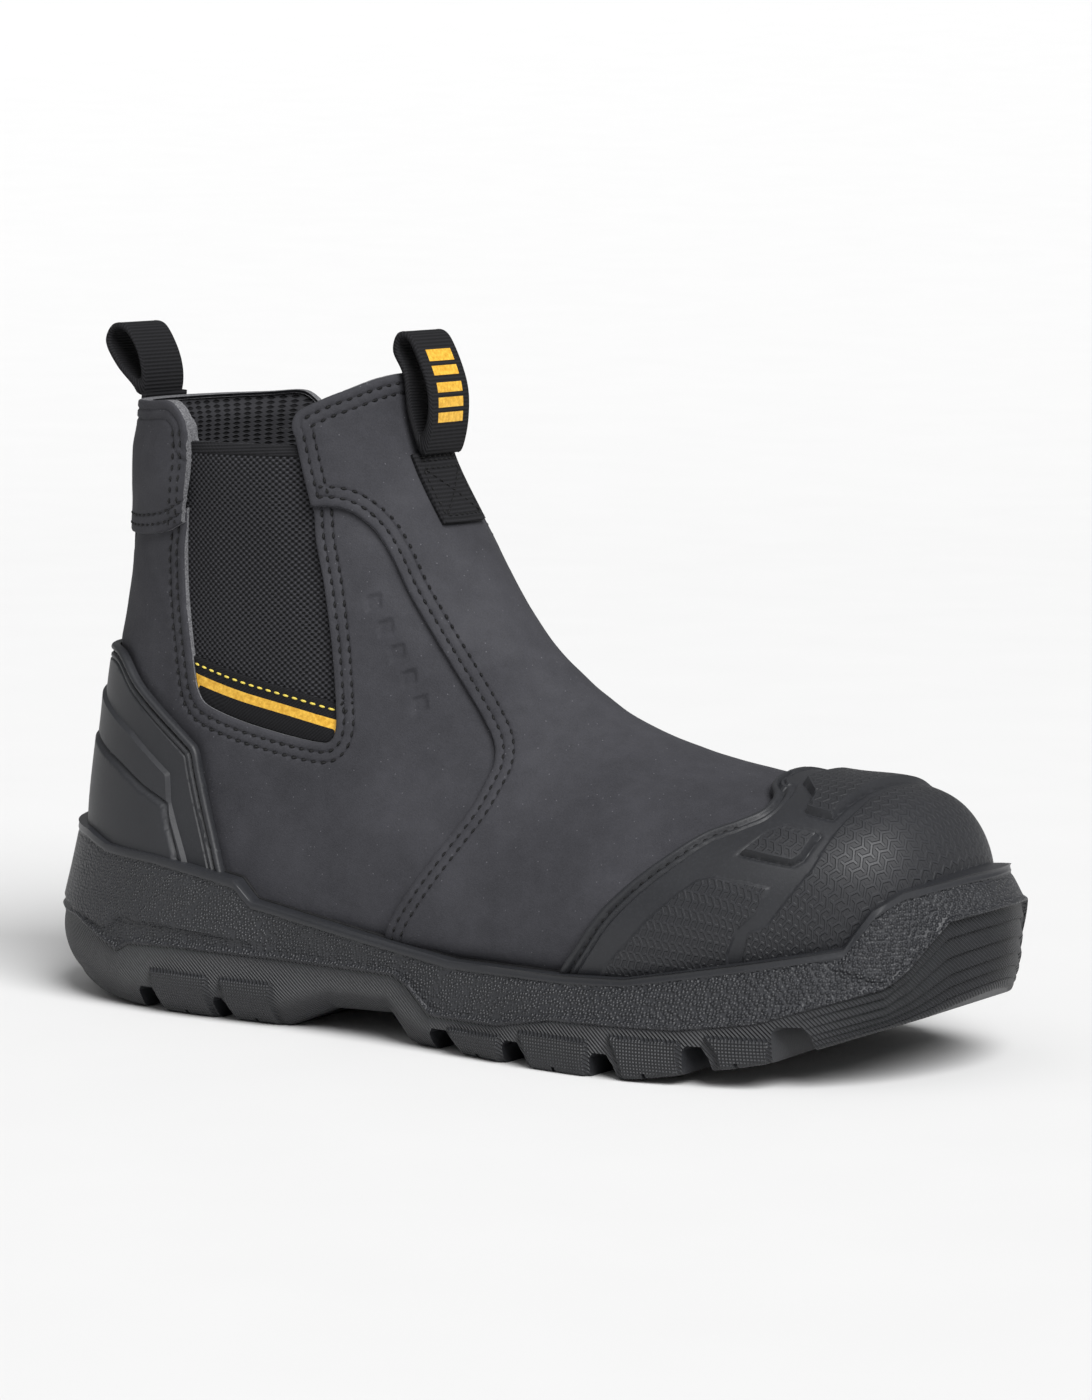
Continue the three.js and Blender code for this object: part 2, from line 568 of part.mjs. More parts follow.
addPiece('vamp_interlining', vampInterlining, 0x6b6b6e, 0.95);
addPiece('heel_counter', heelCounter, 0xb9b2a4, 0.7);
addPiece('collar_foam', collarFoam, 0x77777c, 0.95);
addPiece('vamp_lining', vampLining, CLOTH, 0.95);
addPiece('quarter_lining', quarterLining, CLOTH, 0.95);
addPiece('lasting_board', board, 0xd8d2c2, 0.9);
addPiece('puncture_plate', plate, 0xc9b25a, 0.8);
addPiece('shank', shank, STEEL, 0.4, 0.9);
addPiece('footbed', footbed, 0x34363b, 0.9);
addPiece('heel_pad', heelPad, 0xe0a63a, 0.6);
addPiece('footbed_cover', footbedCover, 0x232427, 0.95);
addPiece('midsole', midsole, MOULDED, 0.6);
addPiece('outsole', outsole, 0x26272a, 0.65);

export default boot;
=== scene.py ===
"""A right steel toe work boot: the fine meshes and finishes built around its CAD frame."""
import math

import bpy
import numpy as np
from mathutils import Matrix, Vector, noise
from mathutils.kdtree import KDTree


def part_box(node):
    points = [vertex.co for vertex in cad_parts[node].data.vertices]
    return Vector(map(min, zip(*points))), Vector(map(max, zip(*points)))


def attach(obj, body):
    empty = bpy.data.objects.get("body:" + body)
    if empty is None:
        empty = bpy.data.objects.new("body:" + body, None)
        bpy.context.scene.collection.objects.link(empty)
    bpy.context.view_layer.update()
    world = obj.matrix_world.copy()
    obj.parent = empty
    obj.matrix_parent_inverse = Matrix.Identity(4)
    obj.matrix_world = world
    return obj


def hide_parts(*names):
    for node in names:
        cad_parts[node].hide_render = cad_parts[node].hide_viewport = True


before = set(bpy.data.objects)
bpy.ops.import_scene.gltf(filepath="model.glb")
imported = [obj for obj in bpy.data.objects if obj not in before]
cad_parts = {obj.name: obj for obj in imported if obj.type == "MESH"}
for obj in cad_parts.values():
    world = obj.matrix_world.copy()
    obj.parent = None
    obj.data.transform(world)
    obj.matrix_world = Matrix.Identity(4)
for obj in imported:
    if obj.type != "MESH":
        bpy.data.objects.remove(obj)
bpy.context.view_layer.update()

# Lengths below are millimetres of the boot's own frame: x to the toe, y to the inner side, z up.
MM = 0.001

# ---------------------------------------------------------------- the upper's shape
# Flat sections fanned from the collar to the toe. Each row: bottom x, z; top x, z; half width
# lateral, medial; middle y; height share of the widest point; roundness above and below it.
SECTIONS = np.array([
    [-126, 196, -37, 200, 37, 37, 0, 0.50, 2.2, 2.2],
    [-130, 160, -32, 166, 37, 37, 0, 0.50, 2.2, 2.2],
    [-132, 125, -13, 135, 36, 36, 0, 0.46, 2.1, 2.3],
    [-138, 85, 5, 113, 38, 36, 0, 0.42, 2.0, 2.5],
    [-136, 34, 21, 100, 41, 39, 0, 0.34, 2.0, 3.0],
    [-95, 26, 38, 90, 44, 41, 0, 0.28, 2.0, 4.0],
    [-45, 25, 59, 83, 48, 44, 1, 0.25, 2.0, 4.0],
    [5, 22, 80, 79, 53, 47, 2, 0.25, 2.0, 4.0],
    [50, 20, 101, 76, 54, 48.5, 3, 0.28, 2.1, 4.0],
    [88, 20, 118, 75, 48, 43, 4, 0.32, 2.3, 3.5],
    [117, 23, 131, 71, 38, 32, 4, 0.38, 2.4, 3.0],
    [134, 30, 139, 60, 24, 19, 5, 0.45, 2.3, 2.4],
    [142.5, 42, 142.5, 42, 0, 0, 5, 0.50, 2.2, 2.2],
])
LAST = len(SECTIONS) - 1
ALONG_SCALE, ACROSS_SCALE = 30, 110  # millimetres of the upper per section, and per half section
LOW_SHARE = 0.3  # share of a half section, counted from its bottom, that lies below its widest point


def catmull_rom(rows, place):
    """Rows read along a uniform Catmull-Rom curve that runs on straight past its ends."""
    place = np.atleast_1d(place)
    i = np.clip(np.floor(place).astype(int), 0, len(rows) - 2)
    t = (place - i)[:, None]
    p1, p2 = rows[i], rows[i + 1]
    p0 = np.where((i > 0)[:, None], rows[np.maximum(i - 1, 0)], 2 * p1 - p2)
    after = rows[np.minimum(i + 2, len(rows) - 1)]
    p3 = np.where((i < len(rows) - 2)[:, None], after, 2 * p2 - p1)
    square = 2 * p0 - 5 * p1 + 4 * p2 - p3
    cube = -p0 + 3 * p1 - 3 * p2 + p3
    return 0.5 * (2 * p1 + (p2 - p0) * t + square * t**2 + cube * t**3)


def upper_points(chart):
    """Points of the upper at (section, across).

    Across is 0 on the ridge at the front, negative on the lateral side and positive on the medial one.
    At -1 and 1 the two sides meet, down the back seam and under the foot.
    """
    place = chart[:, 0]
    across = (chart[:, 1] + 1) % 2 - 1
    row = catmull_rom(SECTIONS, place)
    height = 1 - np.abs(across)
    low = height < LOW_SHARE
    angle = np.where(low, height / LOW_SHARE, (1 - height) / (1 - LOW_SHARE)) * math.pi / 2
    power = 2 / np.where(low, row[:, 9], row[:, 8])
    away = np.abs(np.cos(angle)) ** power
    spread = np.abs(np.sin(angle)) ** power
    widest = row[:, 7]
    rise = np.where(low, widest * (1 - away), widest + (1 - widest) * away)
    half = np.where(across < 0, row[:, 4], row[:, 5])
    x = row[:, 0] + (row[:, 2] - row[:, 0]) * rise
    z = row[:, 1] + (row[:, 3] - row[:, 1]) * rise
    return np.stack([x, row[:, 6] + np.sign(across) * half * spread, z], 1)


def section_at(x, z):
    """The section, and the height share on it, that passes through points of the side view."""
    low, high = np.full(len(x), -0.4), np.full(len(x), LAST - 0.02)
    for _ in range(40):
        middle = (low + high) / 2
        row = catmull_rom(SECTIONS, middle)
        side = (row[:, 2] - row[:, 0]) * (z - row[:, 1]) - (row[:, 3] - row[:, 1]) * (x - row[:, 0])
        behind = side > 0
        high = np.where(behind, middle, high)
        low = np.where(behind, low, middle)
    row = catmull_rom(SECTIONS, middle)
    run = np.stack([row[:, 2] - row[:, 0], row[:, 3] - row[:, 1]], 1)
    rise = ((x - row[:, 0]) * run[:, 0] + (z - row[:, 1]) * run[:, 1]) / (run**2).sum(1)
    return middle, np.clip(rise, 0, 1)


def chart_of(flat, side):
    """Chart places of side view points [x, z] on the lateral (-1) or medial (1) side."""
    place, rise = section_at(flat[:, 0], flat[:, 1])
    row = catmull_rom(SECTIONS, place)
    widest = row[:, 7]
    low = rise < widest
    away = np.where(low, (widest - rise) / widest, (rise - widest) / (1 - widest))
    power = np.where(low, row[:, 9], row[:, 8]) / 2
    angle = np.arccos(np.clip(away, 0, 1) ** power) / (math.pi / 2)
    height = np.where(low, angle * LOW_SHARE, 1 - angle * (1 - LOW_SHARE))
    return np.stack([place, side * (1 - height)], 1)


def surface_normals(points_of, chart, step=(2e-3, 1e-3)):
    """Outward unit normals of a surface given as a function of its chart."""
    sides = []
    for axis in (0, 1):
        shift = np.zeros(2)
        shift[axis] = step[axis]
        sides.append(points_of(chart + shift) - points_of(chart - shift))
    normal = np.cross(sides[0], sides[1])
    return normal / np.maximum(np.linalg.norm(normal, axis=1), 1e-9)[:, None]


# ---------------------------------------------------------------- outlines in the side view
def smooth(points, steps=8):
    """A Catmull-Rom curve through side view points."""
    rows = np.array(points, float)
    return catmull_rom(rows, np.linspace(0, len(rows) - 1, (len(rows) - 1) * steps + 1))


def chain(*parts):
    return np.concatenate([np.array(part, float).reshape(-1, 2) for part in parts])


class Outline:
    """A side view outline. Distances to it are measured along the surface, and are negative inside."""

    def __init__(self, points, closed=True):
        self.points = np.array(points, float)
        self.closed = closed

    def distance(self, points, normals):
        flat = points[:, [0, 2]]
        nearest = np.full(len(flat), np.inf)
        toward = np.zeros_like(flat)
        ends = np.roll(self.points, -1, 0)
        count = len(self.points) if self.closed else len(self.points) - 1
        inside = np.zeros(len(flat), bool)
        for start, end in zip(self.points[:count], ends[:count]):
            run = end - start
            share = np.clip((flat - start) @ run / max(run @ run, 1e-12), 0, 1)
            gap = flat - start - share[:, None] * run
            length = np.hypot(gap[:, 0], gap[:, 1])
            closer = length < nearest
            nearest = np.where(closer, length, nearest)
            toward[closer] = gap[closer]
            if abs(run[1]) > 1e-12:
                crosses = (start[1] > flat[:, 1]) != (end[1] > flat[:, 1])
                at = start[0] + (flat[:, 1] - start[1]) / run[1] * run[0]
                inside ^= crosses & (flat[:, 0] < at)
        toward /= np.maximum(nearest, 1e-9)[:, None]
        lean = (toward * normals[:, [0, 2]]).sum(1)
        nearest = nearest / np.sqrt(np.clip(1 - lean**2, 0.09, 1))
        return np.where(inside, -nearest, nearest) if self.closed else nearest


VAMP_SEAM = [
    [-51, 149], [-45.5, 149.2], [-40, 147.6], [-34, 142.7], [-29, 135.6], [-23, 125], [-14.5, 112.7],
    [-5.4, 100.6], [2.4, 91], [7.6, 84.5], [9.6, 79.5], [9.3, 75.4], [6.8, 66.3], [0.6, 55.9], [-7.2, 44.2],
    [-13.9, 33], [-22, 12],
]
GUSSET_FRONT = [[-41.2, 94], [-43.2, 108.5], [-46.7, 126.5], [-49.6, 139], [-51, 149], [-55, 163], [-57, 171]]
GUSSET_CORNERS = [
    [-89.6, 97], [-88, 93.4], [-84.4, 90.3], [-72.7, 86.8], [-57, 83.7], [-45.6, 82.2], [-41.9, 83.2],
    [-40.7, 87.4], [-41.2, 94],
]
GUSSET_REAR = [[-92.6, 171], [-92.7, 156.7], [-94.8, 142.6], [-95.3, 128.5], [-93.5, 114.6], [-89.6, 97]]
FRONT_COLLAR = [
    [-56.6, 168], [-57.5, 172.4], [-55.7, 176.2], [-50, 179.5], [-43.6, 182.6], [-35, 187], [-18, 192],
]
REAR_COLLAR = [
    [-92.6, 166.5], [-93.6, 172.4], [-97, 176.2], [-101.5, 178], [-112, 177.4], [-127, 177], [-165, 176],
]
TAB_SEAM = [[-165, 137.6], [-128, 137.8], [-115, 138], [-104, 139.4], [-98.4, 141.2], [-86, 147]]
HEEL_EDGE = [
    [-165, 104], [-135, 104], [-121, 103.2], [-110.4, 95], [-98.3, 86.8], [-89.6, 80.6], [-86.2, 77.4],
    [-84.2, 70.7], [-80.5, 59.4], [-74.6, 43.8], [-66, 22],
]
TOE_EDGE = [
    [33, 6], [44.4, 25], [51.4, 33.7], [58.8, 43.8], [67.4, 52.4], [76.9, 60.2], [83.8, 65.2], [91.2, 68.3],
    [95.2, 70.6], [94.6, 73.2], [90.4, 75.4], [88.6, 77.5], [90.5, 79.5], [100, 92],
]

gusset_hole = Outline(chain(smooth(GUSSET_REAR), smooth(GUSSET_CORNERS)[1:-1], smooth(GUSSET_FRONT)))
vamp_region = Outline(chain(
    smooth(VAMP_SEAM)[::-1], smooth(GUSSET_FRONT[4:])[1:-2], smooth(FRONT_COLLAR),
    [[-10, 230], [190, 230], [190, 5]],
))
tab_region = Outline(chain(smooth(TAB_SEAM), [[-80, 166.5]], smooth(REAR_COLLAR)))
heel_region = Outline(chain(smooth(HEEL_EDGE), [[-165, 22]]))
toe_region = Outline(chain(smooth(TOE_EDGE), [[190, 92], [190, 6]]))
collar_region = Outline(chain(
    [[-165, 0]], smooth(REAR_COLLAR)[::-1], [[-92.6, 166.6], [-56.6, 166.6]], smooth(FRONT_COLLAR),
    [[190, 192], [190, 0]],
))


# ---------------------------------------------------------------- sheets cut from a surface
SNAP = 0.06  # corners nearer than this to a cutting line count as on it


class Sheet:
    """Polygons on a charted surface. It is cut along outlines, trimmed, and given a thickness."""

    def __init__(self, points_of, rows, columns):
        self.points_of = points_of
        first, second = np.meshgrid(rows, columns, indexing="ij")
        self.chart = np.stack([first.ravel(), second.ravel()], 1)
        wide = len(columns)
        self.faces = []
        for start in range(0, (len(rows) - 1) * wide, wide):
            self.faces += [
                [start + j, start + wide + j, start + wide + j + 1, start + j + 1] for j in range(wide - 1)
            ]
        self.points = points_of(self.chart)
        self.normals = surface_normals(points_of, self.chart)
        self.known = {}

    def measure(self, line):
        """Distances of all corners to an outline, or the values of a function of points."""
        done = self.known.get(line, np.zeros(0))
        if len(done) < len(self.points):
            points, normals = self.points[len(done):], self.normals[len(done):]
            fresh = line.distance(points, normals) if isinstance(line, Outline) else line(points)
            done = self.known[line] = np.concatenate([done, fresh])
        return done

    def cut(self, line, *levels):
        for level in levels or (0.0,):
            gaps = self.measure(line) - level
            gaps[np.abs(gaps) < SNAP] = 0
            value = gaps.tolist()
            made, fresh, faces = {}, [], []
            count = len(self.chart)
            for face in self.faces:
                signs = [value[i] for i in face]
                if min(signs) >= 0 or max(signs) <= 0:
                    faces.append(face)
                    continue
                above, below = [], []
                for i, j in zip(face, face[1:] + face[:1]):
                    a, b = value[i], value[j]
                    if a >= 0:
                        above.append(i)
                    if a <= 0:
                        below.append(i)
                    if a * b < 0:
                        key = (min(i, j), max(i, j))
                        if key not in made:
                            made[key] = count + len(fresh)
                            fresh.append(self.chart[i] + (self.chart[j] - self.chart[i]) * a / (a - b))
                        above.append(made[key])
                        below.append(made[key])
                faces += [part for part in (above, below) if len(part) > 2]
            self.faces = faces
            if fresh:
                fresh = np.array(fresh)
                self.chart = np.concatenate([self.chart, fresh])
                self.points = np.concatenate([self.points, self.points_of(fresh)])
                self.normals = np.concatenate([self.normals, surface_normals(self.points_of, fresh)])
        return self

    def keep(self, line, level=0.0, beyond=False):
        """Keeps the polygons inside an outline, or with beyond those outside it."""
        value = self.measure(line).tolist()
        sign = -1 if beyond else 1
        self.faces = [f for f in self.faces if sign * (sum(value[i] for i in f) / len(f) - level) <= 0]
        return self

    def trim(self, line, level=0.0, beyond=False):
        return self.cut(line, level).keep(line, level, beyond)

    def used(self):
        return np.unique(np.concatenate([np.array(f) for f in self.faces]))

    def solid(self, name, outer, inner, finishes, pick=None, edge=0, chart=None):
        """A closed object between two offsets of the sheet.

        pick gives each polygon's finish number, and edge is the finish number of the cut edges.
        chart turns points into places on the surface pattern, where the sheet's own won't do.
        """
        used = self.used()
        number = np.full(len(self.chart), -1)
        number[used] = np.arange(len(used))
        faces = [number[f].tolist() for f in self.faces]
        count = len(used)
        outer = np.broadcast_to(outer, len(self.chart))[used]
        inner = np.broadcast_to(inner, len(self.chart))[used]
        base, normal = self.points[used], self.normals[used]
        points = np.concatenate([base + normal * outer[:, None], base + normal * inner[:, None]])
        edges = {(a, b) for f in faces for a, b in zip(f, f[1:] + f[:1])}
        rim = [(a, b) for a, b in edges if (b, a) not in edges]
        walls = [[b, a, a + count, b + count] for a, b in sorted(rim)]
        backs = [[i + count for i in reversed(f)] for f in faces]
        picked = [0] * len(faces) if pick is None else [int(pick(f)) for f in self.faces]
        picked += [0] * len(backs) + [edge] * len(walls)
        self.seats = points[:count]
        piece = make_object(name, points, faces + backs + walls, finishes, picked)
        flat = chart(base) if chart else self.chart[used] * (ALONG_SCALE, ACROSS_SCALE)
        return with_uv(piece, np.concatenate([flat, flat]))


def make_object(name, points, faces, finishes, picked=(), sharp=38):
    """A mesh object from points in millimetres, smooth except along edges sharper than an angle."""
    mesh = bpy.data.meshes.new(name)
    mesh.from_pydata((np.asarray(points) * MM).tolist(), [], faces)
    for finish in finishes:
        mesh.materials.append(finish)
    if len(picked):
        numbers = np.zeros(len(mesh.polygons), np.int32)
        numbers[: len(picked)] = picked
        mesh.polygons.foreach_set("material_index", numbers)
    mesh.polygons.foreach_set("use_smooth", np.ones(len(mesh.polygons), bool))
    mesh.validate()
    mesh.set_sharp_from_angle(angle=math.radians(sharp))
    piece = bpy.data.objects.new(name, mesh)
    bpy.context.scene.collection.objects.link(piece)
    return piece


def with_uv(piece, places, name="Chart"):
    """Gives a piece a UV map from one place per corner point, in millimetres."""
    corners = np.zeros(len(piece.data.loops), np.int32)
    piece.data.loops.foreach_get("vertex_index", corners)
    layer = piece.data.uv_layers.new(name=name)
    layer.data.foreach_set("uv", np.asarray(places, np.float32)[corners].ravel())
    return piece


def even_steps(start, end, spacing, chart_at):
    """Values from start to end such that neighbours lie about one spacing apart on the surface."""
    fine = np.linspace(start, end, 1200)
    runs = [
        np.linalg.norm(np.diff(upper_points(chart_at(fine, other)), axis=0), axis=1)
        for other in (0, 1, 2)
    ]
    length = np.concatenate([[0], np.cumsum(np.max(runs, 0))])
    return np.interp(np.linspace(0, length[-1], max(int(length[-1] / spacing), 4)), length, fine)


def upper_sheet(spacing, start=-0.25, end=LAST - 0.03, lateral=-1.0, medial=1.0):
    """A sheet of the upper, with its corners about one spacing apart."""
    rows = even_steps(
        start, end, spacing,
        lambda fine, i: np.stack([fine, np.full(len(fine), (-0.72, 0.0, -0.9)[i])], 1),
    )
    columns = even_steps(
        lateral, medial, spacing,
        lambda fine, i: np.stack([np.full(len(fine), np.interp(i, (0, 1, 2), (
            max(start, 0), (start + end) / 2, min(end, 9.5),
        ))), fine], 1),
    )
    return Sheet(upper_points, rows, columns)


def side_sheet(spacing, start, end, side, near, far):
    """A sheet of one side of the upper, between two distances from the ridge at its front."""
    low, high = (-far, -near) if side < 0 else (near, far)
    return upper_sheet(spacing, start, end, low, high)


def ramp(value, low, high):
    """0 below low, 1 above high, and smooth between."""
    share = np.clip((value - low) / (high - low), 0, 1)
    return share * share * (3 - 2 * share)


def rounded_edge(depth, radius):
    """How far a rounded edge falls away, at a depth inside the edge."""
    short = np.clip(1 - np.clip(depth, 0, None) / radius, 0, 1)
    return radius * (np.sqrt(np.clip(1 - short**2, 0, 1)) - 1)


def groove(distance, half_width):
    """A smooth valley of depth 1 about distance 0."""
    return -np.clip(1 - (distance / half_width) ** 2, 0, 1) ** 2


def ripple(points, size, seed):
    """Slow random waves between about -1 and 1."""
    shift = Vector((seed * 17.3, seed * 5.1, seed * 9.7))
    return np.array([noise.noise(Vector(p) / size + shift) for p in points.tolist()])


def node_box(node):
    """A CAD node's lowest and highest corners in millimetres."""
    low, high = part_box(node)
    return np.array(low) / MM, np.array(high) / MM


# ---------------------------------------------------------------- finishes
class Shade:
    """A value in a material. Arithmetic on it adds the matching nodes."""

    def __init__(self, finish, socket):
        self.finish = finish
        self.socket = socket

    def maths(self, operation, *others):
        sockets = dict(enumerate((self, *others)))
        return self.finish.node("ShaderNodeMath", sockets, {"operation": operation})

    def reflected(self, operation, other):
        return self.finish.node("ShaderNodeMath", {0: other, 1: self}, {"operation": operation})

    def __add__(self, other):
        return self.maths("ADD", other)

    def __sub__(self, other):
        return self.maths("SUBTRACT", other)

    def __mul__(self, other):
        return self.maths("MULTIPLY", other)

    def __mod__(self, other):
        return self.maths("FLOORED_MODULO", other)

    def __radd__(self, other):
        return self.reflected("ADD", other)

    def __rsub__(self, other):
        return self.reflected("SUBTRACT", other)

    def __rmul__(self, other):
        return self.reflected("MULTIPLY", other)

    def wave(self, length):
        """A wave between -1 and 1 that repeats after a length."""
        return (self * (2 * math.pi / length)).maths("SINE")

    def ramp(self, low, high):
        """0 at low, 1 at high, smooth between them."""
        sockets = {"Value": self, "From Min": low, "From Max": high}
        settings = {"interpolation_type": "SMOOTHSTEP"}
        return self.finish.node("ShaderNodeMapRange", sockets, settings, "Result")


def linear(red, green, blue):
    """A colour given in 0 to 255 display values, as scene linear with alpha."""
    parts = [c / 255 for c in (red, green, blue)]
    return [c / 12.92 if c <= 0.04045 else ((c + 0.055) / 1.055) ** 2.4 for c in parts] + [1.0]


class Finish:
    """A material under construction."""

    def __init__(self, name, roughness=0.6, specular=0.5):
        self.material = bpy.data.materials.new(name)
        self.material.use_nodes = True
        self.tree = self.material.node_tree
        self.shader = self.tree.nodes["Principled BSDF"]
        self.shader.inputs["Roughness"].default_value = roughness
        self.shader.inputs["Specular IOR Level"].default_value = specular

    def feed(self, socket, value):
        if isinstance(value, Shade):
            self.tree.links.new(value.socket, socket)
        else:
            socket.default_value = value

    def node(self, kind, sockets, settings=(), output=0):
        """Adds a node of any kind: its settings first, then the values or links of its sockets."""
        node = self.tree.nodes.new(kind)
        for key, value in dict(settings).items():
            setattr(node, key, value)
        for key, value in sockets.items():
            self.feed(node.inputs[key], value)
        return Shade(self, node.outputs[output])

    def place(self):
        """The point in the boot's own frame, in millimetres."""
        where = self.node("ShaderNodeTexCoord", {}, output="Object")
        return self.node("ShaderNodeVectorMath", {0: where, "Scale": 1 / MM}, {"operation": "SCALE"})

    def chart(self):
        """The point on the piece's own flat pattern, in millimetres."""
        return self.node("ShaderNodeUVMap", {}, {"uv_map": "Chart"})

    def stretch(self, where, factors):
        return self.node("ShaderNodeVectorMath", {0: where, 1: factors}, {"operation": "MULTIPLY"})

    def split(self, vector):
        return [self.node("ShaderNodeSeparateXYZ", {0: vector}, output=axis) for axis in "XYZ"]

    def mix(self, share, first, second):
        """A colour between two."""
        factor, one, two = 0, 6, 7  # the Mix node's sockets for colours
        sockets = {factor: share, one: first, two: second}
        return self.node("ShaderNodeMix", sockets, {"data_type": "RGBA"}, 2)

    def noise(self, where, size, detail=2.0, roughness=0.5):
        """Random waves from 0 to 1, a size in millimetres across."""
        sockets = {"Vector": where, "Scale": 1 / size, "Detail": detail, "Roughness": roughness}
        return self.node("ShaderNodeTexNoise", sockets)

    def cells(self, where, size, randomness=1.0):
        """Distances to randomly placed points a size in millimetres apart."""
        sockets = {"Vector": where, "Scale": 1 / size, "Randomness": randomness}
        return self.node("ShaderNodeTexVoronoi", sockets, {"feature": "F1"}, "Distance")

    def colour(self, value):
        self.feed(self.shader.inputs["Base Color"], value)

    def rough(self, value):
        self.feed(self.shader.inputs["Roughness"], value)

    def bump(self, height, depth, strength=1.0):
        """Raises the surface by a height between 0 and 1 times a depth in millimetres."""
        sockets = {"Height": height, "Distance": depth * MM, "Strength": strength}
        shade = self.node("ShaderNodeBump", sockets)
        self.feed(self.shader.inputs["Normal"], shade)


def nubuck(name="nubuck"):
    """Charcoal nubuck: a soft nap with cloudy lighter patches, pale specks and faint scuffs."""
    finish = Finish(name, specular=0.32)
    where = finish.place()
    cloud = finish.noise(where, 34, 3, 0.55).ramp(0.36, 0.72)
    mottle = finish.noise(where, 5, 4, 0.65).ramp(0.3, 0.75)
    nap = finish.noise(where, 0.45, 3, 0.7)
    stretched = finish.stretch(where, (0.12, 0.3, 1.0))
    scuff = finish.noise(stretched, 1.4, 4, 0.75).ramp(0.66, 0.8)
    speck = 1 - finish.cells(where, 2.6).ramp(0.035, 0.09)
    dark, pale = linear(42, 42, 46), linear(63, 63, 68)
    body = finish.mix(cloud * 0.3 + mottle * 0.22 + (nap - 0.5) * 1.1 + 0.2, dark, pale)
    body = finish.mix(scuff * 0.14 + speck * 0.6, body, linear(112, 112, 117))
    finish.colour(body)
    finish.rough(0.88 - cloud * 0.14)
    wrinkle = finish.noise(where, 2.2, 4, 0.6)
    finish.bump(nap * 0.5 + wrinkle * 0.5, 0.3, 0.8)
    return finish.material


def raw_edge():
    """The pale grey fuzzy cut edge of the leather."""
    finish = Finish("raw leather edge", 0.95, 0.2)
    where = finish.place()
    fuzz = finish.noise(where, 0.5, 4, 0.8)
    finish.colour(finish.mix(fuzz.ramp(0.3, 0.7), linear(66, 66, 69), linear(132, 132, 135)))
    finish.bump(fuzz, 0.3)
    return finish.material


def tri_star(finish, pitch):
    """Raised three-pointed strokes on a triangular lattice: 1 on a stroke, 0 between."""
    along, across, _ = finish.split(finish.chart())
    wide, tall = pitch, pitch * math.sqrt(3)
    least = None
    for shift in (0.0, 0.5):
        x = (along + shift * wide) % wide - wide / 2
        y = (across + shift * tall) % tall - tall / 2
        radius = (x * x + y * y).maths("SQRT")
        turn = y.maths("ARCTAN2", x) + shift * math.pi * 2 / 3
        folded = (turn + math.pi / 3) % (2 * math.pi / 3) - math.pi / 3
        run = radius * folded.maths("COSINE")
        aside = radius * folded.maths("SINE")
        over = (run - pitch * 0.42).maths("MAXIMUM", 0.0)
        away = (over * over + aside * aside).maths("SQRT")
        least = away if least is None else least.maths("MINIMUM", away)
    return 1 - least.ramp(pitch * 0.1, pitch * 0.19)


def moulded_rubber(name="guard rubber", textured=False):
    """Satin rubber of the guards, a little bluer than the leather."""
    finish = Finish(name, specular=0.42)
    where = finish.place()
    cloud = finish.noise(where, 22, 3, 0.6)
    dust = finish.noise(where, 0.8, 4, 0.75).ramp(0.45, 0.8)
    grain = finish.noise(where, 0.35, 2, 0.6)
    body = finish.mix(cloud * 0.5 + dust * 0.4, linear(28, 29, 32), linear(51, 52, 56))
    if textured:
        star = tri_star(finish, 2.0)
        body = finish.mix(star * 0.12, finish.mix(0.2, body, linear(18, 18, 20)), linear(62, 63, 68))
        finish.bump(star * 0.9 + grain * 0.1, 0.3)
        finish.rough(0.58 - star * 0.1)
    else:
        finish.bump(grain * 0.6 + cloud * 0.4, 0.08, 0.7)
        finish.rough(0.5 + dust * 0.12)
    finish.colour(body)
    return finish.material


def elastic_cloth():
    """Black elastic: a fine diagonal basket weave over thin vertical ribs."""
    finish = Finish("gusset elastic", 0.88, 0.2)
    x, _, z = finish.split(finish.place())
    weave = x.wave(2.0) * z.wave(1.7) * 0.5 + 0.5
    yarn = z.wave(0.42) * 0.5 + 0.5
    fuzz = finish.noise(finish.place(), 0.5, 3, 0.7)
    tone = (weave * 0.6 + yarn * 0.15 + fuzz * 0.3).ramp(0.3, 0.85)
    finish.colour(finish.mix(tone, linear(3, 3, 4), linear(66, 66, 70)))
    finish.bump(weave * 0.75 + yarn * 0.25, 0.6)
    return finish.material


def ribbed_cloth(name, pitch, dark, pale, depth=0.22, twill=0.0):
    """Woven tape whose ribs cross its width. twill slants the ribs."""
    finish = Finish(name, 0.85, 0.22)
    along, across, _ = finish.split(finish.chart())
    rib = (along + across * twill).wave(pitch) * 0.5 + 0.5
    yarn = (across - along * 0.3).wave(pitch * 0.55) * 0.5 + 0.5
    fuzz = finish.noise(finish.place(), 0.6, 3, 0.7)
    tone = rib * 0.5 + yarn * 0.2 + fuzz * 0.3
    finish.colour(finish.mix(tone, dark, pale))
    finish.bump(rib * 0.7 + yarn * 0.2 + fuzz * 0.1, depth)
    return finish.material


def lining_mesh():
    """Black spacer mesh: a honeycomb of small dark holes in a soft knit."""
    finish = Finish("lining mesh", 0.92, 0.15)
    along, across, _ = finish.split(finish.chart())
    one = (along * 0.87 + across * 0.5).wave(2.0)
    two = (along * 0.87 - across * 0.5).wave(2.0)
    hole = (one * two + across.wave(2.0) * 0.3).ramp(-0.1, 0.7)
    fuzz = finish.noise(finish.place(), 0.5, 3, 0.7)
    knit = 1 - hole
    finish.colour(finish.mix(knit * 0.7 + fuzz * 0.3, linear(7, 7, 8), linear(54, 54, 57)))
    finish.bump(knit * 0.8 + fuzz * 0.2, 0.7)
    return finish.material


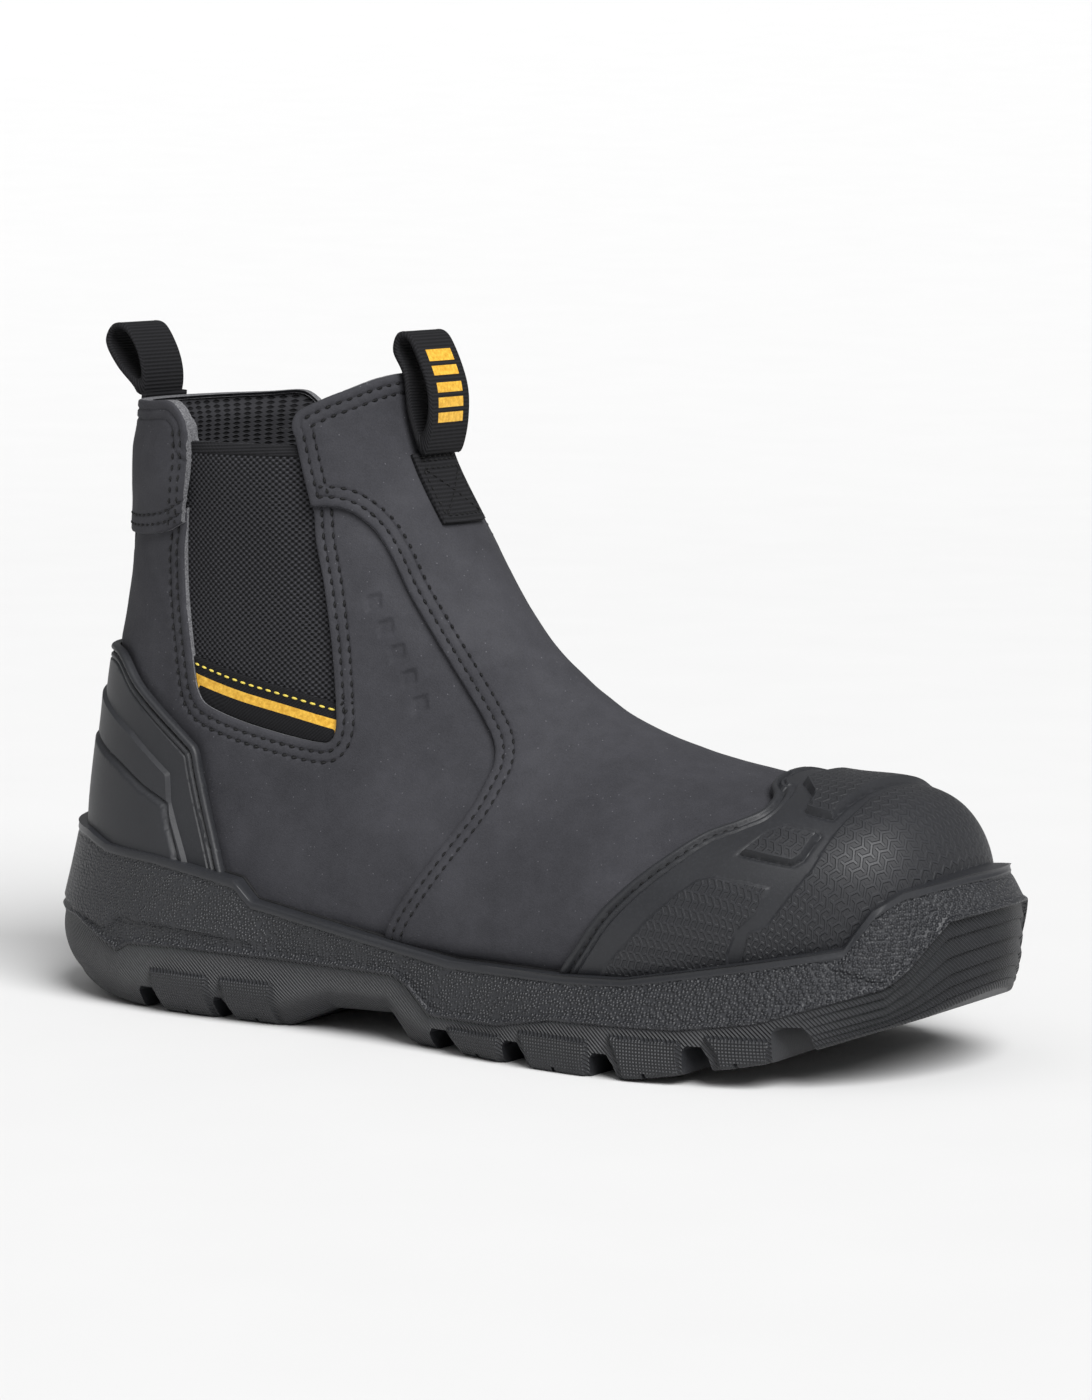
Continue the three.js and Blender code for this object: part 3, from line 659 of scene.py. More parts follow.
def thread(name, dark, pale):
    """Twisted sewing thread."""
    finish = Finish(name, 0.6, 0.35)
    x, y, z = finish.split(finish.place())
    twist = (x + y + z).wave(0.5) * 0.5 + 0.5
    finish.colour(finish.mix(twist, dark, pale))
    finish.bump(twist, 0.08)
    return finish.material


def pebbled_foam(name="midsole foam", textured=True):
    """Moulded midsole, finely dimpled on its sides and smooth on its rim."""
    finish = Finish(name, specular=0.42)
    where = finish.place()
    cloud = finish.noise(where, 20, 3, 0.6)
    dust = finish.noise(where, 1.1, 4, 0.75).ramp(0.5, 0.85)
    body = finish.mix(cloud * 0.5 + dust * 0.35, linear(33, 34, 37), linear(54, 55, 59))
    finish.colour(body)
    if textured:
        pebble = 1 - finish.cells(where, 1.0, 0.6).ramp(0.1, 0.7)
        finish.bump(pebble, 0.5)
        finish.rough(0.5 - pebble * 0.14)
    else:
        finish.bump(cloud * 0.6 + dust * 0.4, 0.06)
        finish.rough(0.4 + dust * 0.18)
    return finish.material


def outsole_rubber(name="outsole rubber", pattern="hatch"):
    """Hard outsole rubber, hatched on its sides and knurled on the faces of its lugs."""
    finish = Finish(name, specular=0.45)
    where = finish.place()
    along, rise, _ = finish.split(finish.chart())
    cloud = finish.noise(where, 16, 3, 0.6)
    dust = finish.noise(where, 0.9, 4, 0.75).ramp(0.48, 0.8)
    if pattern == "hatch":
        lines = (along + rise).wave(1.3) * 0.5 + 0.5
    elif pattern == "knurl":
        lines = (along + rise).wave(1.9) * (along - rise).wave(1.9) * 0.5 + 0.5
    else:
        lines = finish.noise(where, 0.5, 2, 0.6)
    body = finish.mix(cloud * 0.4 + dust * 0.35 + lines * 0.4, linear(19, 20, 22), linear(55, 56, 60))
    finish.colour(body)
    finish.bump(lines, 0.6 if pattern != "plain" else 0.08)
    finish.rough(0.5 + dust * 0.15)
    return finish.material


def plain_cloth(name, dark, pale, size=0.8, roughness=0.92):
    """Felt, foam or board: a mottled, slightly fuzzy surface."""
    finish = Finish(name, roughness, 0.2)
    where = finish.place()
    fuzz = finish.noise(where, size, 4, 0.75)
    cloud = finish.noise(where, 14, 2)
    finish.colour(finish.mix(fuzz * 0.7 + cloud * 0.3, dark, pale))
    finish.bump(fuzz, 0.25)
    return finish.material


def brushed_steel():
    """Plain steel of the cap and the shank, with fine marks from its forming."""
    finish = Finish("formed steel")
    where = finish.place()
    stretched = finish.stretch(where, (0.1, 1.0, 1.0))
    marks = finish.noise(stretched, 0.8, 3, 0.7)
    cloud = finish.noise(where, 12, 3)
    finish.colour(finish.mix(cloud * 0.6 + marks * 0.4, linear(120, 122, 126), linear(176, 178, 182)))
    finish.rough(0.3 + marks * 0.25)
    finish.shader.inputs["Metallic"].default_value = 1.0
    finish.bump(marks, 0.03)
    return finish.material


def printed(name, dark, pale):
    """Rubbery yellow print on the webbing."""
    finish = Finish(name, 0.5, 0.4)
    where = finish.place()
    worn = finish.noise(where, 1.2, 4, 0.7)
    finish.colour(finish.mix(worn.ramp(0.3, 0.75), dark, pale))
    finish.bump(worn, 0.08)
    return finish.material


NUBUCK = nubuck()
RAW_EDGE = raw_edge()
GUARD = moulded_rubber()
GUARD_STARS = moulded_rubber("guard rubber with stars", True)
ELASTIC = elastic_cloth()
ELASTIC_BAND = ribbed_cloth("gusset top band", 0.8, linear(6, 6, 7), linear(42, 42, 45), 0.15)
WEBBING = ribbed_cloth("webbing", 1.15, linear(5, 5, 6), linear(36, 36, 39))
LABEL = ribbed_cloth("label twill", 0.9, linear(8, 8, 9), linear(30, 30, 33), 0.12, 0.8)
STRIP = ribbed_cloth("backstay tape", 1.3, linear(18, 18, 20), linear(50, 50, 54))
LINING = lining_mesh()
DARK_THREAD = thread("dark thread", linear(2, 2, 3), linear(16, 16, 18))
YELLOW_THREAD = thread("yellow thread", linear(206, 178, 60), linear(244, 226, 110))
YELLOW_PRINT = printed("yellow print", linear(196, 144, 36), linear(240, 192, 74))
MIDSOLE = pebbled_foam()
MIDSOLE_RIM = pebbled_foam("midsole rim", False)
OUTSOLE = outsole_rubber()
OUTSOLE_KNURL = outsole_rubber("outsole lug faces", "knurl")
OUTSOLE_PLAIN = outsole_rubber("outsole plain", "plain")
GLUE = plain_cloth("sole glue line", linear(10, 10, 11), linear(40, 40, 42), 0.7, 0.6)
FOAM = plain_cloth("collar foam", linear(92, 92, 97), linear(130, 130, 136), 0.9)
FELT = plain_cloth("interlining felt", linear(88, 88, 92), linear(132, 132, 136), 0.6)
COUNTER_BOARD = plain_cloth("counter board", linear(150, 143, 130), linear(196, 190, 176), 0.7, 0.75)
INSOLE_BOARD = plain_cloth("insole board", linear(176, 168, 148), linear(214, 207, 190), 0.5, 0.85)
PLATE_CLOTH = plain_cloth("puncture plate cloth", linear(158, 136, 60), linear(208, 184, 98), 0.9)
EDGE_RUBBER = plain_cloth("cap edge rubber", linear(36, 36, 38), linear(66, 66, 69), 0.9, 0.7)
FOOTBED_FOAM = plain_cloth("footbed foam", linear(38, 40, 45), linear(70, 72, 78), 0.9)
FOOTBED_CLOTH = ribbed_cloth("footbed cloth", 1.0, linear(20, 20, 23), linear(56, 57, 62), 0.15, 0.6)
GEL = printed("heel pad gel", linear(196, 140, 40), linear(232, 178, 74))
STEEL = brushed_steel()

CARRIED_OVER = {
    "steel_toe_cap": STEEL, "toe_cap_edge_strip": EDGE_RUBBER, "heel_counter": COUNTER_BOARD,
    "lasting_board": INSOLE_BOARD, "puncture_plate": PLATE_CLOTH, "shank": STEEL, "heel_pad": GEL,
}
for node, material in CARRIED_OVER.items():
    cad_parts[node].data.materials.clear()
    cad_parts[node].data.materials.append(material)


def place_piece(piece, slot, *nodes, body="boot"):
    """Fixes a finished piece to its body, in place of CAD nodes. The slot is not used."""
    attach(piece, body)
    if nodes:
        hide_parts(*nodes)
    return piece


# ---------------------------------------------------------------- stitches
THREAD_RADIUS = 0.42
STITCH_PITCH = 3.3
STITCH_LENGTH = 2.5


def on_upper(points, side, lift):
    """Side view points brought to the upper's surface, lifted off it, with the normals there."""
    chart = chart_of(np.asarray(points, float), side)
    normal = surface_normals(upper_points, chart)
    lift = np.broadcast_to(lift, len(points))
    return upper_points(chart) + normal * lift[:, None], normal


SEAT_REACH = 1.0  # threads stay within this distance of the piece that they are sewn into


def rows_beside(sheet, line, side, *insets):
    """Stitch paths on a finished sheet, at insets to one side of a line, where the sheet reaches."""
    tree = KDTree(len(sheet.seats))
    for i, seat in enumerate(sheet.seats):
        tree.insert(seat, i)
    tree.balance()
    points, normal = on_upper(smooth(line, 14), side, 0)
    along = np.gradient(points, axis=0)
    along /= np.maximum(np.linalg.norm(along, axis=1), 1e-9)[:, None]
    beside = np.cross(normal, along) * side
    rows = []
    for inset in insets:
        base, up = on_upper((points + beside * inset)[:, [0, 2]], side, 0)
        path, ups = [], []
        for spot, way in zip(base, up):
            near = tree.find_n(spot, 3)
            offset = sum(Vector(way).dot(seat - Vector(spot)) for seat, _, _ in near) / 3
            if min((Vector(spot + way * offset) - seat).length for seat, _, _ in near) < SEAT_REACH:
                path.append(spot + way * offset)
                ups.append(way)
            elif path:
                rows.append((np.array(path), np.array(ups)))
                path, ups = [], []
        if path:
            rows.append((np.array(path), np.array(ups)))
    return [row for row in rows if len(row[0]) > 6]


def stitch_rows(name, rows, material, radius=THREAD_RADIUS, pitch=STITCH_PITCH, length=STITCH_LENGTH):
    """Separate threads laid end to end along rows, each dipping into the material at both ends."""
    points, faces = [], []
    sides, rings = 6, 7
    for path, normals in rows:
        run = np.concatenate([[0], np.cumsum(np.linalg.norm(np.diff(path, axis=0), axis=1))])
        count = max(int(run[-1] / pitch), 1)
        for k in range(count):
            start = k * pitch + (run[-1] - count * pitch) / 2 + (pitch - length) / 2
            share = np.linspace(0, 1, rings)
            at = start + share * length
            line = np.stack([np.interp(at, run, path[:, i]) for i in range(3)], 1)
            up = np.stack([np.interp(at, run, normals[:, i]) for i in range(3)], 1)
            up /= np.linalg.norm(up, axis=1)[:, None]
            along = np.gradient(line, axis=0)
            along /= np.linalg.norm(along, axis=1)[:, None]
            aside = np.cross(along, up)
            bow = np.sin(share * math.pi)
            line = line + up * (bow * radius * 1.5 - radius * 1.15)[:, None]
            thick = radius * np.clip(np.sqrt(bow), 0.25, 1)
            first = len(points)
            for i in range(rings):
                for j in range(sides):
                    turn = 2 * math.pi * j / sides
                    away = aside[i] * math.cos(turn) + up[i] * math.sin(turn)
                    points.append(line[i] + away * thick[i])
            for i in range(rings - 1):
                for j in range(sides):
                    a, b = first + i * sides + j, first + i * sides + (j + 1) % sides
                    faces.append([a, b, b + sides, a + sides])
            faces.append([first + j for j in reversed(range(sides))])
            faces.append([first + (rings - 1) * sides + j for j in range(sides)])
    piece = make_object(name, np.array(points), faces, [material], sharp=80)
    place_piece(piece, "webbing" if material == YELLOW_THREAD else "leather")


# ---------------------------------------------------------------- the leather upper
LEATHER_THICKNESS = 2.0
ROW_INSETS = (2.7, 5.6)  # the double rows of stitches beside an edge
ROW_DEPTH = 0.4

sole_rim = [
    [-155, 52], [-129, 50.7], [-118, 47.7], [-98, 46.4], [-67, 42.3], [-61, 36.8], [-21, 31], [10, 26.8],
    [47, 26.6], [68, 27.5], [100, 33.4], [127, 38.5], [133, 49], [138, 53.5], [147, 56.5], [155, 57.5],
]
rim_x, rim_z = np.array(sole_rim).T


def rim_height(x):
    return np.interp(x, rim_x, rim_z)


bottom_line = catmull_rom(SECTIONS, np.linspace(4.3, 11, 17))[:, :2]
UNDER_FOOTBED = 4.6  # height above the bottom line where the walls end beside the footbed
BELOW_RIM = 9  # how far the walls run down behind the rim of the sole


def bottom_height(x):
    return np.interp(x, bottom_line[:, 0], bottom_line[:, 1])


def below_rim(points):
    """Positive for points hidden below the rim of the sole, or under the footbed."""
    hidden = rim_height(points[:, 0]) - BELOW_RIM
    return np.maximum(hidden, bottom_height(points[:, 0]) + UNDER_FOOTBED) - points[:, 2]


vamp_line = Outline(smooth(VAMP_SEAM), closed=False)
tab_line = Outline(smooth(TAB_SEAM), closed=False)


def row_grooves(depth, insets=ROW_INSETS):
    return sum(groove(depth - inset, 0.75) for inset in insets) * ROW_DEPTH


def with_row_cuts(sheet, line, beyond=False):
    """Adds corners along an edge and its stitch rows, so that they can be shaped."""
    levels = [0.3, 0.9]
    for inset in ROW_INSETS:
        levels += [inset - 0.7, inset, inset + 0.7]
    return sheet.cut(line, *(level if beyond else -level for level in levels))


def build_vamp():
    sheet = upper_sheet(1.25)
    sheet.trim(below_rim).trim(vamp_region).trim(collar_region).trim(gusset_hole, beyond=True)
    with_row_cuts(sheet, vamp_region)
    depth = -sheet.measure(vamp_region)
    lap = 1 - ramp(sheet.measure(vamp_line), 4, 20)
    under_guard = ramp(-sheet.measure(toe_region), -2.5, 1)
    puff = ripple(sheet.points, 24, 1) * 0.45 + ripple(sheet.points, 9, 2) * 0.16
    settle = ramp(depth, 3, 14)
    outer = 1.1 * lap + rounded_edge(depth, 0.9) + row_grooves(depth) + puff * settle - 0.5 * under_guard
    inner = outer - LEATHER_THICKNESS + 0.7 * lap
    piece = sheet.solid("vamp_leather", outer, inner, [NUBUCK, RAW_EDGE], edge=1)
    place_piece(piece, "leather", "vamp")
    return sheet


def build_quarter(name, node, side):
    sheet = side_sheet(1.25, 0.8, 8.2, side, 0.05, 1.0)
    sheet.trim(below_rim).trim(vamp_region, -3.5, beyond=True).trim(tab_region, -3.5, beyond=True)
    sheet.trim(gusset_hole, beyond=True)
    for shape in pressed_lozenges:
        sheet.cut(shape, 0.5, -0.5)
    with_row_cuts(sheet, gusset_hole, beyond=True)
    around = sheet.measure(gusset_hole)
    near_lap = 1 - ramp(sheet.measure(vamp_line), 0, 9)
    near_tab = 1 - ramp(sheet.measure(tab_line), 0, 7)
    under_guard = ramp(-sheet.measure(heel_region), -3, 1)
    puff = ripple(sheet.points, 22, 3) * 0.5 + ripple(sheet.points, 9, 4) * 0.16
    outer = puff * ramp(around, 3, 14) * (1 - near_lap) * (1 - near_tab)
    outer += rounded_edge(around, 0.9) + row_grooves(around)
    outer += pressed_ornament(sheet)
    outer -= 0.75 * np.maximum(near_lap, near_tab) + 0.5 * under_guard
    inner = outer - LEATHER_THICKNESS + 0.6 * np.maximum(near_lap, near_tab)
    piece = sheet.solid(name, outer, inner, [NUBUCK, RAW_EDGE], edge=1)
    place_piece(piece, "leather", node)
    return sheet


def lozenge(x, z, tall=3.2, wide=2.6, lean=math.radians(-30)):
    """A small leaning lozenge in the side view."""
    corners = [(0, tall), (wide, 0), (0, -tall), (-wide, 0)]
    turned = [(x + a * math.cos(lean) - b * math.sin(lean), z + a * math.sin(lean) + b * math.cos(lean))
              for a, b in corners]
    return Outline(turned)


pressed_lozenges = [lozenge(-32 + 4 * i, 122.5 - 7 * i) for i in range(5)]


def pressed_ornament(sheet):
    """A slanting row of small pressed lozenges on the quarter."""
    dent = np.zeros(len(sheet.points))
    for shape in pressed_lozenges:
        dent -= 0.7 * np.clip(0.5 - sheet.measure(shape), 0, 1)
    return dent


def build_tab():
    sheet = upper_sheet(1.2, -0.3, 3.0, -1.62, -0.38)
    sheet.trim(tab_region).trim(collar_region).trim(gusset_hole, beyond=True)
    with_row_cuts(sheet, tab_region)
    depth = -sheet.measure(tab_region)
    lap = 1 - ramp(sheet.measure(tab_line), 4, 16)
    puff = ripple(sheet.points, 20, 5) * 0.4 + ripple(sheet.points, 8, 6) * 0.15
    pad = ramp(depth, 6, 15) * 0.9
    outer = 0.8 * lap + rounded_edge(depth, 0.9) + row_grooves(depth) + puff * ramp(depth, 3, 12) + pad
    thick_edge = 1.3 * (1 - ramp(-sheet.measure(collar_region), 0.5, 5))
    inner = outer - LEATHER_THICKNESS + 0.5 * lap - pad - thick_edge
    piece = sheet.solid("back_tab_leather", outer, inner, [NUBUCK, RAW_EDGE], edge=1)
    place_piece(piece, "leather", "back_tab")
    return sheet


vamp_sheet = build_vamp()
quarter_sheets = {
    -1: build_quarter("quarter_leather_lateral", "quarter_lateral", -1),
    1: build_quarter("quarter_leather_medial", "quarter_medial", 1),
}
tab_sheet = build_tab()

upper_rows = []
for side in (-1, 1):
    for line in (VAMP_SEAM[::-1], GUSSET_FRONT[4:], FRONT_COLLAR[2:]):
        upper_rows += rows_beside(vamp_sheet, line, side, *ROW_INSETS)
    around_gusset = chain(GUSSET_REAR[1:], GUSSET_CORNERS[1:], GUSSET_FRONT[:5])
    upper_rows += rows_beside(quarter_sheets[side], around_gusset, side, *ROW_INSETS)
    upper_rows += rows_beside(tab_sheet, TAB_SEAM[::-1], side, *ROW_INSETS)
    upper_rows += rows_beside(tab_sheet, GUSSET_REAR[:5], side, *ROW_INSETS)
stitch_rows("upper_stitching", upper_rows, DARK_THREAD)


# ---------------------------------------------------------------- moulded guards
GUARD_FACE = 2.6
HEEL_GUARD_FACE = 2.4
GUARD_BACK = 0.3
GUARD_ROWS = (2.4, 4.3)

toe_side_field = Outline([
    [46, 14], [58.8, 28], [65.3, 34.8], [74.8, 44.5], [81.7, 50.5], [87, 54.3], [91.5, 55.3], [100.9, 54.6],
    [106.9, 53.7], [104, 47.2], [98.8, 42.6], [96, 36], [95, 14],
])
toe_main_field = Outline([
    [99, 14], [99.6, 36], [101.6, 42.4], [106.7, 44.9], [111.5, 51.5], [116.6, 58.8], [120.5, 71.5],
    [119.4, 82], [190, 82], [190, 14],
])
toe_low_pad = Outline([
    [96.5, 60.6], [101.4, 65.4], [105.7, 67.4], [115, 66.3], [115.9, 65.6], [113.9, 60.3], [111.6, 58.9],
])
toe_top_pad = Outline([
    [97, 84], [97.9, 75.4], [106.2, 73.2], [108.3, 70.4], [116.6, 69.2], [117.6, 73.5], [117.9, 84],
])
heel_plate = Outline([
    [-165, 98], [-138, 93], [-127, 88.2], [-111, 80.6], [-97.8, 71.8], [-95.1, 69.9], [-94.2, 61.5],
    [-91.6, 55], [-87.6, 46], [-83, 34], [-79, 22], [-165, 22],
])
heel_block = Outline([
    [-165, 84], [-140, 79.5], [-132, 77], [-115, 70.3], [-105, 64.8], [-96, 60.9], [-94.6, 55], [-91.6, 47.4],
    [-87, 36], [-83, 22], [-165, 22],
])


def guard_edge(depth):
    """Lip, two grooves for the stitches and the ridge between them, by depth inside the edge."""
    lip = 0.35 * (1 - ramp(depth, 1.3, 1.9))
    grooves = groove(depth - GUARD_ROWS[0], 0.85) * 0.85 + groove(depth - GUARD_ROWS[1], 0.55) * 0.5
    return lip + grooves + rounded_edge(depth, 1.1)


def raised(sheet, region, height, slope):
    return height * np.clip(-sheet.measure(region) / slope, 0, 1)


def guard_cuts(sheet, region):
    levels = [-0.25, -0.7, -1.2]
    for inset, half in zip(GUARD_ROWS, (0.8, 0.5)):
        levels += [-inset + half, -inset, -inset - half]
    return sheet.cut(region, *levels)


def toe_chart(points):
    """Even places over the toe: rolled flat from its dome and from the arch behind it."""
    away = points - np.array([92, 4, 14])
    ahead, behind_dome = np.maximum(away[:, 0], 0), np.minimum(away[:, 0], 0)
    flat = np.maximum(np.hypot(ahead, away[:, 1]), 1e-6)
    spread = np.arctan2(flat, away[:, 2]) * 52 / flat
    return np.stack([ahead * spread + behind_dome, away[:, 1] * spread], 1)


def heel_chart(points):
    turn = np.arctan2(points[:, 1], -(points[:, 0] + 96))
    return np.stack([turn * 40, points[:, 2]], 1)


def build_toe_guard():
    sheet = upper_sheet(0.95, 5.4)
    sheet.trim(below_rim).trim(toe_region)
    guard_cuts(sheet, toe_region)
    for region in (toe_side_field, toe_main_field):
        sheet.cut(region, 0, -0.6)
    for region in (toe_low_pad, toe_top_pad):
        sheet.cut(region, 0.5, 0, -1.1, -1.5)
    depth = -sheet.measure(toe_region)
    outer = GUARD_FACE + guard_edge(depth)
    outer += raised(sheet, toe_side_field, 0.5, 0.6) + raised(sheet, toe_main_field, 0.5, 0.6)
    for region in (toe_low_pad, toe_top_pad):
        outer += raised(sheet, region, 1.9, 1.1)
        outer -= 0.35 * np.clip(1 - np.abs(sheet.measure(region) - 0.2) / 0.6, 0, 1)
    outer += ripple(sheet.points, 18, 7) * 0.12
    from_fields = np.minimum(sheet.measure(toe_side_field), sheet.measure(toe_main_field))
    from_pads = np.minimum(sheet.measure(toe_low_pad), sheet.measure(toe_top_pad))
    on_pads = from_pads + 1.5
    textured = np.where(from_pads > 0, np.minimum(from_fields + 0.6, on_pads), on_pads)
    piece = sheet.solid(
        "toe_guard_shell", outer, GUARD_BACK, [GUARD, GUARD_STARS], lambda f: textured[f].mean() < 0,
        chart=toe_chart,
    )
    place_piece(piece, "guard_rubber", "toe_guard")
    return sheet


def build_heel_guard():
    sheet = upper_sheet(0.95, 2.0, 6.6, -1.7, -0.3)
    sheet.trim(below_rim).trim(heel_region)
    guard_cuts(sheet, heel_region)
    sheet.cut(heel_plate, 0, -1.1).cut(heel_block, 1.3, 0.7, 0, -1.1)
    depth = -sheet.measure(heel_region)
    outer = HEEL_GUARD_FACE + guard_edge(depth) + ripple(sheet.points, 18, 8) * 0.12
    outer += raised(sheet, heel_plate, 1.1, 1.1) + raised(sheet, heel_block, 0.7, 1.1)
    outer -= 0.8 * np.clip(1 - np.abs(sheet.measure(heel_block) - 0.5) / 0.8, 0, 1)
    piece = sheet.solid("heel_guard_shell", outer, GUARD_BACK, [GUARD], chart=heel_chart)
    place_piece(piece, "guard_rubber", "heel_guard")
    return sheet


toe_guard_sheet = build_toe_guard()
heel_guard_sheet = build_heel_guard()
guard_rows = []
for side in (-1, 1):
    guard_rows += rows_beside(toe_guard_sheet, TOE_EDGE[1:8][::-1], side, -GUARD_ROWS[0])
    guard_rows += rows_beside(heel_guard_sheet, HEEL_EDGE[1:9][::-1], side, -GUARD_ROWS[0])
stitch_rows("guard_stitching", guard_rows, DARK_THREAD, radius=0.3, pitch=3.0, length=2.3)


# ---------------------------------------------------------------- gussets, labels, tape and patches
GUSSET_TOP = node_box("gusset_lateral")[1][2]
ELASTIC_FACE = -2.3
ELASTIC_THICKNESS = 1.6
ALLOWANCE = 5.6  # how far the elastic runs under the leather
BAND_WIDTH = 3.4
LABEL_TOP = [[-96, 105.5], [-90, 104.2], [-72.7, 100], [-55.8, 96.7], [-34, 92]]
label_region = Outline(chain(smooth(LABEL_TOP), [[-34, 75], [-96, 75]]))


def above(height):
    return lambda points: points[:, 2] - height


def build_gusset(name, node, side):
    sheet = side_sheet(1.5, 0.3, 5.2, side, 0.12, 0.86)
    sheet.trim(gusset_hole, ALLOWANCE).trim(above(GUSSET_TOP))
    band = above(GUSSET_TOP - BAND_WIDTH)
    sheet.cut(band, 0.3, 0, -0.3)
    depth = -sheet.measure(gusset_hole)
    swell = ramp(depth, 0, 14) * 0.9 + ripple(sheet.points, 15, 9) * 0.15 * ramp(depth, 1, 6)
    height = sheet.measure(band)
    outer = ELASTIC_FACE + swell + groove(height, 0.5) * 0.25 + 0.15 * ramp(height, 0, 0.4)
    outer += rounded_edge(GUSSET_TOP - sheet.points[:, 2], 0.5)
    piece = sheet.solid(
        name, outer, outer - ELASTIC_THICKNESS, [ELASTIC, ELASTIC_BAND], lambda f: height[f].mean() > 0,
    )
    place_piece(piece, "elastic", node)


LABEL_FACE = -0.95
LABEL_THICKNESS = 0.75
STRIPE_INSETS = (4.6, 7.4)  # the yellow stripe below the label's row of stitches


def build_label(name, node, side):
    sheet = side_sheet(1.2, 2.0, 5.2, side, 0.12, 0.86)
    sheet.trim(gusset_hole, -0.25).trim(label_region)
    sheet.cut(label_region, -0.25, -0.6)
    sheet.cut(label_region, *(-inset for inset in STRIPE_INSETS))
    depth = -sheet.measure(label_region)
    from_leather = -sheet.measure(gusset_hole)
    swell = ramp(from_leather, 0, 14) * 0.6 - 0.35 * (1 - ramp(from_leather, 0, 3))
    outer = LABEL_FACE + swell + rounded_edge(depth, 0.5)
    near, far = STRIPE_INSETS
    piece = sheet.solid(
        name, outer, outer - LABEL_THICKNESS, [LABEL, YELLOW_PRINT],
        lambda face: near < depth[face].mean() < far,
    )
    place_piece(piece, "label_cloth", node)
    return sheet


label_rows = []
for side, name in ((-1, "lateral"), (1, "medial")):
    build_gusset("gusset_elastic_" + name, "gusset_" + name, side)
    label = build_label("gusset_label_cloth_" + name, "gusset_label_" + name, side)
    label_rows += rows_beside(label, LABEL_TOP, side, 2.0)
stitch_rows("label_stitching", label_rows, YELLOW_THREAD, radius=0.34, pitch=3.0, length=2.5)


def within(half_width):
    """Distance outside a strip of a half width about the middle of the boot."""
    return lambda points: np.abs(points[:, 1]) - half_width


TAPE_FACE = 1.35
TAPE_BACK = 0.3
TAPE_GAP = 0.05  # how far a tape stays inside its CAD node's box


def build_tape(name, node, sheet, corners, finish, slack=0.0, taller=0.0):
    """A flat woven piece on the upper that fills a CAD node's box."""
    low, high = node_box(node)
    high[2] += taller
    half = (high[1] - low[1]) / 2
    sides = within(half)
    sheet.trim(sides).trim(above(high[2] - TAPE_GAP))
    sheet.trim(lambda points: low[2] + TAPE_GAP - points[:, 2])
    sheet.trim(corners)
    sheet.cut(sides, -0.5, -1.3)
    depth = -sheet.measure(sides)
    rim = rounded_edge(np.minimum(depth, -sheet.measure(corners)), 0.6)
    selvedge = 0.12 * (1 - ramp(depth, 0.5, 1.4))
    outer = TAPE_FACE + slack + rim + selvedge + ripple(sheet.points, 9, 11) * 0.12
    piece = sheet.solid(name, outer, TAPE_BACK, [finish], chart=lambda points: points[:, [2, 1]])
    place_piece(piece, "webbing", node)
    return sheet


def in_front(points):
    return -90 - points[:, 0]


def behind(points):
    return points[:, 0] + 100


front_sheet = build_tape(
    "front_patch_webbing", "front_loop_patch", upper_sheet(0.9, 0.3, 3.2, -0.3, 0.3), in_front, WEBBING, 0.3,
)
rear_sheet = build_tape(
    "rear_patch_webbing", "rear_loop_patch", upper_sheet(0.9, -0.2, 2.6, -1.35, -0.65), behind, WEBBING,
    slack=0.35, taller=0.5,
)
build_tape("backstay_tape", "backstay_strip", upper_sheet(0.9, 1.2, 3.8, -1.3, -0.7), behind, STRIP)


def on_sheet(sheet, flat, lift):
    """Places [y, z] brought to a sheet's surface, by the nearest of its corners."""
    used = sheet.used()
    points, normals = sheet.points[used], sheet.normals[used]
    found, ups = [], []
    for y, z in flat:
        gap = (points[:, 1] - y) ** 2 + (points[:, 2] - z) ** 2
        near = np.argsort(gap)[:5]
        weight = 1 / (gap[near] + 0.02)
        weight /= weight.sum()
        up = weight @ normals[near]
        spot = weight @ points[near]
        found.append([spot[0], y, z] + up * lift)
        ups.append(up)
    return np.array(found), np.array(ups)


PATCH_ROW_HALF = 8.3
PATCH_LIFT = 1.8  # height of the threads on the patches


def cross_box(sheet, low, high, lift=PATCH_LIFT):
    """Rows of a box with a cross in it, sewn through a patch."""
    half = PATCH_ROW_HALF
    corners = [[-half, low], [half, low], [half, high], [-half, high]]
    lines = [[corners[i], corners[(i + 1) % 4]] for i in range(4)]
    lines += [[corners[0], corners[2]], [corners[1], corners[3]]]
    return [on_sheet(sheet, np.linspace(a, b, 24), lift) for a, b in lines]


front_low, front_high = node_box("front_loop_patch")
rear_low, rear_high = node_box("rear_loop_patch")
patch_threads = cross_box(front_sheet, front_low[2] + 2, front_high[2] - 4.4, 1.75)
for drop in (1.2, 2.2):
    row = [[y, front_high[2] - drop] for y in np.linspace(-8.6, 8.6, 20)]
    patch_threads.append(on_sheet(front_sheet, row, PATCH_LIFT))
patch_threads += cross_box(rear_sheet, rear_low[2] + 2.2, rear_low[2] + 19)
patch_threads += cross_box(rear_sheet, rear_high[2] - 14, rear_high[2] - 3)
stitch_rows("patch_stitching", patch_threads, DARK_THREAD, radius=0.3, pitch=2.5, length=2.1)


# ---------------------------------------------------------------- lining, foam and inner layers
def build_layer(name, node, finish, sheet, outer, inner, cuts, edge=2.0):
    """A hidden layer of the wall, thinned towards its edges."""
    for line, level, beyond in cuts:
        sheet.trim(line, level, beyond)
    depths = [(sheet.measure(line) - level) * (1 if beyond else -1) for line, level, beyond in cuts]
    inside = np.min(depths, 0)
    back = inner + (outer - inner) * 0.75 * (1 - ramp(inside, 0, edge))
    piece = sheet.solid(name, np.full(len(sheet.chart), outer), back, [finish])
    return place_piece(piece, "foam", node)


